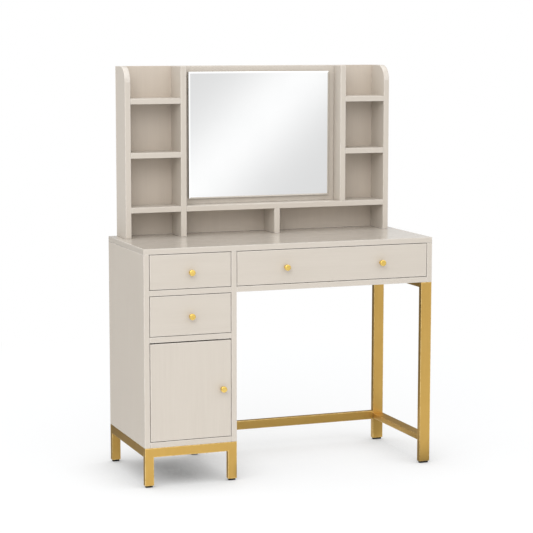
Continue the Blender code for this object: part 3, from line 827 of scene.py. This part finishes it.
def drilled(shape, bores):
    """Cut upright round bores, given as (middle, radius, lowest, highest)."""
    meshes = [to_mesh(shape, "blank")]
    for middle, radius, lowest, highest in bores:
        bit = bmesh.new()
        bmesh.ops.create_cone(
            bit, cap_ends=True, segments=BORE_SIDES, radius1=radius, radius2=radius, depth=highest - lowest)
        bmesh.ops.translate(bit, vec=(middle.x, middle.y, (lowest + highest) / 2.0), verts=bit.verts)
        meshes.append(to_mesh(bit, "bit"))
    things = [bpy.data.objects.new("cut", mesh) for mesh in meshes]
    for thing in things:
        SCENE.collection.objects.link(thing)
    for tool in things[1:]:
        cut = things[0].modifiers.new("bore", "BOOLEAN")
        cut.object = tool
        cut.solver = "EXACT"
    depsgraph = bpy.context.evaluated_depsgraph_get()
    result = bpy.data.meshes.new_from_object(things[0].evaluated_get(depsgraph))
    made = bmesh.new()
    made.from_mesh(result)
    for thing in things:
        bpy.data.objects.remove(thing)
    for mesh in [*meshes, result]:
        bpy.data.meshes.remove(mesh)
    return made


PIVOTS = ("door_pivot_lower", "door_pivot_upper")
pin_bores = []
for node in PIVOTS:
    low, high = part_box(node)
    pin_bores.append((node_middle(node), PIN_RADIUS + BORE_PLAY, low.z - BORE_PLAY, high.z + BORE_PLAY))

DRILLED_ROWS = [
    ("cabinet_floor", "pedestal_floor", "X", "table", pin_bores[:1]),
    ("cabinet_roof", "cabinet_top_board", "X", "table", pin_bores[1:]),
    ("door_leaf", "door_panel", "Z", "door", pin_bores),
]
for piece_name, node, grain, body, bores in DRILLED_ROWS:
    low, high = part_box(node)
    blank = drilled(ease_edges(box_shape(low, high)), bores)
    to_piece(piece_name, mark_grain(blank, piece_name, grain), GREIGE_BOARD, body, [node])
print("drilled boards", len(DRILLED_ROWS))

# %% [markdown]
# ## The door's pins and its catch
#
# Each pin is a turned bar with a small flange in the middle that keeps the door off the board. At
# the other edge a spring catch holds the door shut: a plastic housing with two steel plates, which
# meet a thin strike plate let into the back of the door.

# %% Door pins
PIN_LENGTH = 0.010
PIN_CHAMFER = 0.0004
FLANGE_RADIUS = 0.0045
SEAT = 0.0003

for node in PIVOTS:
    low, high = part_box(node)
    length = high.z - low.z
    flange_low, flange_high = PIN_LENGTH + SEAT, length - PIN_LENGTH - SEAT
    half = FLANGE_RADIUS - PIN_CHAMFER / 2.0
    profile = [
        (0.0, 0.0), (PIN_RADIUS - PIN_CHAMFER, 0.0), (PIN_RADIUS, PIN_CHAMFER), (PIN_RADIUS, flange_low),
        (half, flange_low), (FLANGE_RADIUS, flange_low + PIN_CHAMFER / 2.0),
        (FLANGE_RADIUS, flange_high - PIN_CHAMFER / 2.0), (half, flange_high), (PIN_RADIUS, flange_high),
        (PIN_RADIUS, length - PIN_CHAMFER), (PIN_RADIUS - PIN_CHAMFER, length), (0.0, length),
    ]
    start = node_middle(node)
    start.z = low.z
    name = node.replace("pivot", "pin")
    to_piece(name, spin(profile, start, name, UPWARD), OILED_STEEL, "table", [node])
print("door pins", len(PIVOTS))

# %% Catch and strike plate
PLATE_PROUD = 0.0010
PLATE_SHARES = (0.28, 0.62)
PLATE_INSET, PLATE_DEEP, PLATE_THICK = 0.006, 0.004, 0.0016
CATCH_SCREW_INSET, CATCH_SCREW_BACK = 0.005, 0.008
CATCH_HEAD = (0.0028, 0.0012)
HOUSING_EASES, PLATE_EASES, STRIKE_EASES = (0.0010, 0.0010), (0.0003, 0.0004), (0.0003, 0.0010)
STRIKE_HALF, STRIKE_DOWN, STRIKE_UP = 0.016, 0.0055, 0.0045
STRIKE_SUNK, STRIKE_PROUD = 0.0008, 0.0001

low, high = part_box("door_catch")
ends = (low + Vector((0.0, PLATE_PROUD, 0.0)), high)
box_piece("catch_housing", ends, "X", DARK_PLASTIC, "table", ["door_catch"], HOUSING_EASES)
plates = []
for share in PLATE_SHARES:
    base = low.z + share * (high.z - low.z)
    plate_low = (low.x + PLATE_INSET, low.y, base)
    plate_high = (high.x - PLATE_INSET, low.y + PLATE_DEEP, base + PLATE_THICK)
    plates.append(eased_box(f"catch_plate_{share}", plate_low, plate_high, "X", *PLATE_EASES))
to_piece("catch_plates", join_shapes(plates), ZINC_STEEL, "table")
screw_y = low.y + CATCH_SCREW_BACK
underside = [(low.x + CATCH_SCREW_INSET, screw_y, low.z), (high.x - CATCH_SCREW_INSET, screw_y, low.z)]
screws("catch_screws", underside, -UPWARD, *CATCH_HEAD)

door_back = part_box("door_panel")[1].y
middle = node_middle("door_catch")
strike_low = (middle.x - STRIKE_HALF, door_back - STRIKE_SUNK, middle.z - STRIKE_DOWN)
strike_high = (middle.x + STRIKE_HALF, door_back + STRIKE_PROUD, middle.z + STRIKE_UP)
ends = (strike_low, strike_high)
box_piece("strike_plate", ends, "X", ZINC_STEEL, "door", eases=STRIKE_EASES)
print("catch 1, strike plate 1")

# %% [markdown]
# ## The drawer boxes
#
# Each drawer is a face with a box behind it: two sides and a back, with a thin bottom that slides
# into a groove. A groove is easiest to make in the outline of the wall, which is then pushed out
# to its length. The lining is a plainer, paler board than the outside. Two cams on each side, just
# behind the face, are what pulls the face tight against the walls.

# %% Drawer boxes
WALL = 0.012
WALL_EASE, BASE_EASE = 0.0005, 0.0003
JOINT_LINE = 0.0001
CAM_FROM_FRONT, CAM_SHARES = 0.034, (0.36, 0.78)
CAM_HEAD = (0.0072, 0.0005)


def grooved(name, outer, inner, heights, groove, to_point, reach, grain):
    """A wall with a groove in its inner face, from its outline and the way it is pushed out."""
    base, top = heights
    groove_low, groove_high, groove_end = groove
    outline = [
        (outer, base), (inner, base), (inner, groove_low), (groove_end, groove_low),
        (groove_end, groove_high), (inner, groove_high), (inner, top), (outer, top),
    ]
    return mark_grain(ease_edges(push_out(outline, to_point, Vector(reach)), WALL_EASE), name, grain)


for drawer in DRAWERS:
    low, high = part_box(f"{drawer}_box")
    bottom_low, bottom_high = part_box(f"{drawer}_bottom")
    heights = (low.z, high.z)
    slot_low, slot_high = bottom_low.z - SEAT, bottom_high.z + SEAT
    length = (0.0, high.y - low.y, 0.0)
    inner_left, inner_right = low.x + WALL, high.x - WALL
    walls = [
        grooved(f"{drawer}_left", low.x, inner_left, heights, (slot_low, slot_high, bottom_low.x - SEAT),
                lambda x, z: (x, low.y, z), length, "Y"),
        grooved(f"{drawer}_right", high.x, inner_right, heights, (slot_low, slot_high, bottom_high.x + SEAT),
                lambda x, z: (x, low.y, z), length, "Y"),
        grooved(f"{drawer}_rear", high.y, high.y - WALL, heights, (slot_low, slot_high, bottom_high.y + SEAT),
                lambda y, z: (inner_left + JOINT_LINE, y, z),
                (inner_right - inner_left - 2.0 * JOINT_LINE, 0.0, 0.0), "X"),
    ]
    to_piece(f"{drawer}_walls", join_shapes(walls), DRAWER_BOARD, drawer, [f"{drawer}_box"])
    front_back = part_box(f"{drawer}_front")[1].y
    base_low = Vector((bottom_low.x, front_back + JOINT_LINE, bottom_low.z))
    box_piece(
        f"{drawer}_base", (base_low, bottom_high), "X", DRAWER_BOARD, drawer,
        [f"{drawer}_bottom"], (BASE_EASE, BAND))
    cams = {"left": (inner_left, 1.0), "right": (inner_right, -1.0)}
    for side, (face, way) in cams.items():
        places = [
            (face, low.y + CAM_FROM_FRONT, low.z + share * (high.z - low.z)) for share in CAM_SHARES]
        screws(f"{drawer}_cams_{side}", places, (way, 0.0, 0.0), *CAM_HEAD, drawer)
print("drawer boxes 3")

# %% [markdown]
# ## The runners
#
# A drawer hangs on telescopic runners of bent steel. The outer channel is screwed to the case, and
# the inner one, which is screwed to the drawer, slides inside it. Each is a thin outline pushed
# out to its length, and the two ride on different bodies.

# %% Runners
SHEET = 0.0012
RUNNER_WIDE, RUNNER_TALL = 0.012, 0.035
LIP = 0.005
OUTER_SHORT, INNER_PAST = 0.0015, 0.0002
INNER_MARGIN = 0.007
INNER_DEPTH = 0.0095
CHANNEL_EASE, CHANNEL_BAND = 0.0002, 0.0008
SCREW_FROM_END = 0.035
RUNNER_HEAD = (0.0032, 0.0010)


def outer_channel():
    """The fixed channel's outline: depth from the wall, and height."""
    deep, tall = RUNNER_WIDE - OUTER_SHORT, RUNNER_TALL
    return [
        (0.0, 0.0), (deep, 0.0), (deep, LIP), (deep - SHEET, LIP), (deep - SHEET, SHEET), (SHEET, SHEET),
        (SHEET, tall - SHEET), (deep - SHEET, tall - SHEET), (deep - SHEET, tall - LIP), (deep, tall - LIP),
        (deep, tall), (0.0, tall),
    ]


def inner_channel():
    """The sliding channel's outline, open towards the wall."""
    web = RUNNER_WIDE + INNER_PAST
    start, base, top = web - INNER_DEPTH, INNER_MARGIN, RUNNER_TALL - INNER_MARGIN
    return [
        (start, base), (web, base), (web, top), (start, top), (start, top - SHEET),
        (web - SHEET, top - SHEET), (web - SHEET, base + SHEET), (start, base + SHEET),
    ]


def facing_in(low, high, side):
    """Where the case's wall is on a side, and which way is in from it."""
    return (low.x, 1.0) if side == "left" else (high.x, -1.0)


def runner_part(name, outline, low, high, side):
    """Push a channel's outline out along the runner, turned to face the drawer."""
    wall, way = facing_in(low, high, side)
    reach = Vector((0.0, high.y - low.y, 0.0))
    shape = push_out(outline, lambda deep, rise: (wall + way * deep, low.y, low.z + rise), reach)
    return mark_grain(ease_edges(shape, CHANNEL_EASE, CHANNEL_BAND, 1), name, "Y")


for drawer in DRAWERS:
    for side in ("left", "right"):
        node = f"{drawer}_runner_{side}"
        low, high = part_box(node)
        fixed = runner_part(f"{node}_fixed", outer_channel(), low, high, side)
        to_piece(f"{node}_fixed", fixed, ZINC_STEEL, "table", [node])
        sliding = runner_part(f"{node}_sliding", inner_channel(), low, high, side)
        to_piece(f"{node}_sliding", sliding, ZINC_STEEL, drawer)
        wall, way = facing_in(low, high, side)
        ends = (low.y + SCREW_FROM_END, high.y - SCREW_FROM_END)
        places = [(wall + way * SHEET, y, node_middle(node).z) for y in ends]
        screws(f"{node}_screws", places, (way, 0.0, 0.0), *RUNNER_HEAD)
print("runners 6")

# %% [markdown]
# ## The backs
#
# Thin panels close the hutch and the pedestal at the back. They are screwed on from behind, along
# every board that they cross, so rows of heads show there. A panel is made a little thinner than
# its CAD node, so that the heads stay inside the table's depth.

# %% Backs
BACK_EASE = 0.0004
BACK_HEAD = (0.0032, 0.0004)
UPRIGHT_MARGIN, PEDESTAL_MARGIN = 0.025, 0.03
UPRIGHTS = ("hutch_left_panel", "hutch_left_divider", "hutch_right_divider", "hutch_right_panel")
SHELF_SCREWS = {
    "left_shelf_1": 1, "left_shelf_2": 1, "long_shelf": 4, "right_shelf_1": 1, "right_shelf_2": 1,
    "left_shelf_3": 1,
}
PEDESTAL_BOARDS = ("pedestal_floor", "cabinet_top_board", "drawer_rail_board")


def spaced(start, end, count):
    """Evenly spaced numbers from start to end."""
    return [start + (end - start) * step / (count - 1) for step in range(count)]


def back_panel(name, node, finish):
    """A thin panel that leaves room for the screw heads."""
    low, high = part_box(node)
    high = high - Vector((0.0, BACK_HEAD[1], 0.0))
    box_piece(name, (low, high), "Z", finish, "table", [node], (BACK_EASE, BAND))
    return low, high


low, high = back_panel("hutch_rear_panel", "hutch_back", SHADED_BACK_GREIGE)
places = []
for upright in UPRIGHTS:
    for z in spaced(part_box(upright)[0].z + UPRIGHT_MARGIN, high.z - UPRIGHT_MARGIN, 4):
        places.append((node_middle(upright).x, high.y, z))
for board, count in SHELF_SCREWS.items():
    shelf_low, shelf_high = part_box(board)
    inset = (shelf_high.x - shelf_low.x) / (count + 1)
    for x in spaced(shelf_low.x + inset, shelf_high.x - inset, max(count, 2))[:count]:
        places.append((x, high.y, node_middle(board).z))
screws("hutch_back_screws", places, -FORWARD, *BACK_HEAD)

low, high = back_panel("pedestal_rear_panel", "pedestal_back", SHADED_BACK_GREIGE)
columns = spaced(low.x + PEDESTAL_MARGIN, high.x - PEDESTAL_MARGIN, 3)
places = [(x, high.y, node_middle(board).z) for board in PEDESTAL_BOARDS for x in columns]
screws("pedestal_back_screws", places, -FORWARD, *BACK_HEAD)
print("backs 2")

# %% [markdown]
# ## The mirror
#
# A sheet of silvered glass on a dark backing, fixed to the board behind it. Its polished edge is
# a narrow slope all round, which catches a different part of the room from the face. So the face
# is drawn in by the width of the slope, and the outer ring is set back.

# %% Mirror
SLOPE_WIDE, SLOPE_DEEP = 0.0045, 0.0016

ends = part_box("mirror_backing")
box_piece("mirror_backboard", ends, "Z", DARK_BACKING, "table", ["mirror_backing"])

low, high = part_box("mirror_glass")
glass = box_shape(low, high)
mark = glass.verts.layers.float.new("edge")
for corner in glass.verts:
    corner[mark] = 1.0
glass.normal_update()
face = [item for item in glass.faces if item.normal.dot(FORWARD) > 0.9]
bmesh.ops.inset_individual(glass, faces=face, thickness=SLOPE_WIDE, depth=0.0, use_even_offset=True)
for corner in glass.verts:
    if corner.co.y < low.y + FLAT_ENOUGH:
        inside = min(abs(corner.co.x - low.x), abs(corner.co.x - high.x)) > SLOPE_WIDE / 2.0
        corner[mark] = 0.0 if inside else 1.0
        corner.co.y += 0.0 if inside else SLOPE_DEEP
pane = to_piece("mirror_pane", mark_grain(glass, "mirror_pane", "Z"), SILVERED_GLASS, "table",
                ["mirror_glass"])
pane.data.shade_flat()
print("mirror", [round(value, 3) for value in high - low])

# %% [markdown]
# ## Hardware that shows from below and inside
#
# The frames are screwed up into the case from below, and each knob is held by a screw through its
# front, with a washer under the head. Nobody looks there first, but a table that is turned over or
# has a drawer open shows them.

# %% Frame and knob screws
FRAME_HEAD, KNOB_HEAD = (0.0048, 0.0022), (0.0040, 0.0022)
DEEP_PLACES, WIDE_PLACES = (-0.11, 0.01, 0.13), (-0.40, -0.29)
TUBE_MIDDLE = TUBE_NARROW / 2.0
WASHER_RADIUS, WASHER_EDGE, WASHER = 0.0058, 0.0003, 0.0010

low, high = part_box("pedestal_base_frame")
rail_under = high.z - TUBE_WIDE
sides, ends = (low.x + TUBE_MIDDLE, high.x - TUBE_MIDDLE), (low.y + TUBE_MIDDLE, high.y - TUBE_MIDDLE)
places = [(x, y, rail_under) for x in sides for y in DEEP_PLACES]
places += [(x, y, rail_under) for x in WIDE_PLACES for y in ends]
screws("pedestal_frame_screws", places, -UPWARD, *FRAME_HEAD)
low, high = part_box("side_frame")
places = [(node_middle("side_frame").x, y, high.z - TUBE_NARROW) for y in DEEP_PLACES]
screws("right_frame_screws", places, -UPWARD, *FRAME_HEAD)

washer_profile = [
    (0.0, 0.0), (WASHER_RADIUS - WASHER_EDGE, 0.0), (WASHER_RADIUS, WASHER_EDGE), (WASHER_RADIUS, WASHER),
    (0.0, WASHER),
]
for node, body in KNOB_ROWS:
    front = "door_panel" if body == "door" else f"{body}_front"
    middle = node_middle(node)
    start = Vector((middle.x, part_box(front)[1].y, middle.z))
    ring = spin(washer_profile, start, node, -FORWARD)
    head = screw_head(start - FORWARD * WASHER, -FORWARD, *KNOB_HEAD)
    name = node.replace("knob", "knob_screw")
    whole = mark_grain(join_shapes([ring, head]), name, "Z")
    to_piece(name, whole, ZINC_STEEL, body)
print("frame screws 13, knob screws", len(KNOB_ROWS))

# %% [markdown]
# ## The studio paper
#
# The table stands on white paper, against white. To the camera most of the paper's white is steady
# and does not change with the light, and far from the table it is plain white altogether. Only a
# painted shadow shows on it close under the table, darker where the paper is shut off from the open
# air. To every other ray the paper is a real surface, but its colour turns greyer further out, a
# painted shade that keeps it from throwing too much light up at the table.

# %% Studio paper
FLOOR_HALF, FLOOR_DROP = 3.0, 0.0002
FADE_START, FADE_END = 1.5, 2.6
WHITE, BLACK = (1.0, 1.0, 1.0), (0.0, 0.0, 0.0)
PAPER_TONE, PAPER_DIM_TONE = (0.800, 0.813, 0.826), (0.50, 0.50, 0.50)
PAPER_DIMS = (0.6, 3.0)
PAPER_ROUGH, PAPER_STEADY = 0.9, 0.65
SHADOW_REACH, SHADOW_CURVE, SHADOW_SAMPLES = 0.22, 1.6, 8


def closed_share(tree):
    """How far each point of the paper is shut off from the open air, from 0 to 1."""
    open_share = add_node(
        tree, "ShaderNodeAmbientOcclusion", {"samples": SHADOW_SAMPLES}, {"Distance": SHADOW_REACH})
    return math_node(tree, "POWER", ranged(tree, open_share.outputs["AO"], 0.0, 1.0, 1.0, 0.0), SHADOW_CURVE)


def studio_paper():
    """White paper that fades to plain white for the camera, far from the table, with a painted shadow close
    under it.
    """
    made = bpy.data.materials.new("studio_paper")
    made.use_nodes = True
    tree = made.node_tree
    shader = tree.nodes["Principled BSDF"]
    shader.inputs["Roughness"].default_value = PAPER_ROUGH
    shader.inputs["Specular IOR Level"].default_value = 0.0
    white = add_node(tree, "ShaderNodeEmission")
    place = add_node(tree, "ShaderNodeTexCoord").outputs["Object"]
    away = add_node(tree, "ShaderNodeVectorMath", {"operation": "LENGTH"}, {0: place}).outputs["Value"]
    far = add_node(
        tree, "ShaderNodeMapRange", {"interpolation_type": "SMOOTHSTEP"},
        {"Value": away, "From Min": FADE_START, "From Max": FADE_END}).outputs["Result"]
    seen = add_node(tree, "ShaderNodeLightPath").outputs["Is Camera Ray"]
    fade = math_node(tree, "MULTIPLY", math_node(tree, "MAXIMUM", far, PAPER_STEADY), seen)
    unseen = math_node(tree, "SUBTRACT", 1.0, seen)
    # painted shade for rays other than the camera's: the paper's colour greys further out
    grey = math_node(tree, "MULTIPLY", ranged(tree, away, *PAPER_DIMS, 0.0, 1.0), unseen)
    tone = blend_colours(tree, grey, PAPER_TONE, PAPER_DIM_TONE)
    # painted shadow: to the camera the paper darkens where it is shut off from the open air
    painted_shadow = math_node(tree, "MULTIPLY", closed_share(tree), seen)
    tree.links.new(blend_colours(tree, painted_shadow, tone, BLACK), shader.inputs["Base Color"])
    tree.links.new(blend_colours(tree, painted_shadow, WHITE, BLACK), white.inputs["Color"])
    mix = add_node(
        tree, "ShaderNodeMixShader", {}, {0: fade, 1: shader.outputs[0], 2: white.outputs[0]})
    tree.links.new(mix.outputs[0], tree.nodes["Material Output"].inputs["Surface"])
    return made


floor_shape = bmesh.new()
bmesh.ops.create_grid(floor_shape, x_segments=1, y_segments=1, size=FLOOR_HALF)
floor_mesh = to_mesh(floor_shape, "studio_floor")
floor_mesh.materials.append(studio_paper())
floor = bpy.data.objects.new("studio_floor", floor_mesh)
SCENE.collection.objects.link(floor)
floor.location.z = -FLOOR_DROP
print("paper", 2.0 * FLOOR_HALF, "across")

# %% [markdown]
# ## Light
#
# The world is white to the camera, but it lights the table unevenly. It is brighter in front,
# above and at the left than behind, below and at the right, so each side of a board gets its own
# level. One soft lamp at the front left adds a little more direction.

# %% World
WORLD_FRONT, WORLD_REAR, WORLD_TURN = 1.10, 0.54, 0.7
WORLD_RISE, WORLD_LEAN = 0.78, 0.27

world = bpy.data.worlds.new("studio_world")
SCENE.world = world
world.use_nodes = True
world_tree = world.node_tree
backdrop = world_tree.nodes["Background"]
backdrop.inputs["Color"].default_value = (*WHITE, 1.0)
seen = add_node(world_tree, "ShaderNodeLightPath").outputs["Is Camera Ray"]
direction = add_node(world_tree, "ShaderNodeTexCoord").outputs["Generated"]
ways = add_node(world_tree, "ShaderNodeSeparateXYZ", {}, {0: direction}).outputs
level = ranged(world_tree, ways["Y"], -WORLD_TURN, WORLD_TURN, WORLD_FRONT, WORLD_REAR)
for way, slope in (("Z", WORLD_RISE), ("X", -WORLD_LEAN)):
    change = add_node(world_tree, "ShaderNodeMapRange", {}, {
        "Value": ways[way], "From Min": -1.0, "To Min": 1.0 - slope, "To Max": 1.0 + slope})
    level = math_node(world_tree, "MULTIPLY", level, change.outputs["Result"])
level = add_node(world_tree, "ShaderNodeMix", {}, {"Factor": seen, "A": level, "B": 1.0}).outputs[0]
world_tree.links.new(level, backdrop.inputs["Strength"])
SCENE.view_settings.view_transform = "Standard"
print("world", WORLD_FRONT, "in front and", WORLD_REAR, "behind")

# %% Soft lamp
TABLE_MIDDLE = (0.0, 0.0, 0.6)
LAMP_PLACE, LAMP_SIZE, LAMP_LEVEL = (-2.2, -3.6, 3.2), 2.0, 0.166


def softbox(name, place, aim, size, level):
    """A square soft light. The level is how bright it makes a white card that faces it."""
    data = bpy.data.lights.new(name, "AREA")
    data.shape = "SQUARE"
    data.size = size
    reach = Vector(place) - Vector(aim)
    data.energy = level * math.pi ** 2 * reach.length_squared
    light = bpy.data.objects.new(name, data)
    SCENE.collection.objects.link(light)
    light.location = place
    light.rotation_euler = reach.to_track_quat("Z", "Y").to_euler()
    light.visible_camera = False
    return light


lamp = softbox("side_softbox", LAMP_PLACE, TABLE_MIDDLE, LAMP_SIZE, LAMP_LEVEL)
print("lamp", round(lamp.data.energy, 1), "W")

# %% [markdown]
# ## Cards for reflections
#
# Gold and satin paint show what stands around them, and plain white all round would leave them
# flat. So a few cards stand about the table that only reflections see. The grey one behind and the
# grey cards lying on the paper give the gold legs their dark stripes; the ones on the paper are a
# painted shade in reflections, standing in for floor that lies in shade round the table. The dark
# one at the left takes the sheen off the sides that face it, and the one behind at the right gives
# the desktop its sheen.

# %% Cards
CARD_LIFT = 0.001
CARD_ROWS = [
    ("rear_flag", (-2.2, 0.60, 0.0), (3.4, 0.0, 0.0), (0.0, 0.0, 0.78), 0.20),
    # painted shade: the two grey cards on the paper darken the floor that the gold reflects
    ("rear_mat", (-2.2, -0.17, CARD_LIFT), (1.70, 0.0, 0.0), (0.0, 0.77, 0.0), 0.38),
    ("desk_mat", (-0.18, -0.30, CARD_LIFT), (0.90, 0.0, 0.0), (0.0, 0.44, 0.0), 0.30),
    ("left_flag", (-2.4, -2.2, 0.0), (0.0, 2.6, 0.0), (0.0, 0.0, 2.3), 0.10),
    ("rear_glow", (0.45, 1.20, 0.80), (1.15, 0.0, 0.0), (0.0, 0.0, 0.60), 0.84),
]


def card(name, corner, across, along, level):
    """A card that only reflections show, from one corner and its two sides."""
    mesh = bpy.data.meshes.new(name)
    corner, across, along = Vector(corner), Vector(across), Vector(along)
    mesh.from_pydata([corner, corner + across, corner + across + along, corner + along], [], [(0, 1, 2, 3)])
    made = bpy.data.materials.new(name)
    made.use_nodes = True
    tree = made.node_tree
    glow = add_node(tree, "ShaderNodeEmission", {}, {"Strength": level})
    tree.links.new(glow.outputs[0], tree.nodes["Material Output"].inputs["Surface"])
    mesh.materials.append(made)
    shown = bpy.data.objects.new(name, mesh)
    SCENE.collection.objects.link(shown)
    shown.visible_camera = False
    shown.visible_diffuse = False
    shown.visible_shadow = False
    return shown


for row in CARD_ROWS:
    card(*row)
print("cards", len(CARD_ROWS))

# %% [markdown]
# ## What the mirror sees
#
# A mirror shows the room, so an empty studio would leave it flat white. A large grey card stands
# in front, where only reflections see it, with one soft bright band across it from corner to
# corner. How bright a point of the card is depends on how far it is from the band's middle line.

# %% Card for the mirror
BAND_START, BAND_SLOPE = (0.825, 0.641), math.radians(43.2)
BAND_WIDTH, BAND_GREY, BAND_GLOW = 0.24, 0.75, 0.28

band_card = card("band_card", (0.45, -3.0, 0.30), (1.55, 0.0, 0.0), (0.0, 0.0, 1.30), 1.0)
band_tree = band_card.data.materials[0].node_tree
point = add_node(band_tree, "ShaderNodeTexCoord").outputs["Object"]
parts = add_node(band_tree, "ShaderNodeSeparateXYZ", {}, {0: point}).outputs
sideways = math_node(band_tree, "SUBTRACT", parts["X"], BAND_START[0])
upward = math_node(band_tree, "SUBTRACT", parts["Z"], BAND_START[1])
sideways = math_node(band_tree, "MULTIPLY", sideways, -math.sin(BAND_SLOPE) / BAND_WIDTH)
upward = math_node(band_tree, "MULTIPLY", upward, math.cos(BAND_SLOPE) / BAND_WIDTH)
off_line = math_node(band_tree, "ADD", sideways, upward)
falloff = math_node(band_tree, "MULTIPLY", math_node(band_tree, "MULTIPLY", off_line, off_line), -1.0)
glow = math_node(band_tree, "EXPONENT", falloff, 0.0)
band_level = math_node(band_tree, "MULTIPLY_ADD", glow, BAND_GLOW)
band_level.node.inputs[2].default_value = BAND_GREY
band_tree.links.new(band_level, band_tree.nodes["Emission"].inputs["Strength"])
print("band card ready")
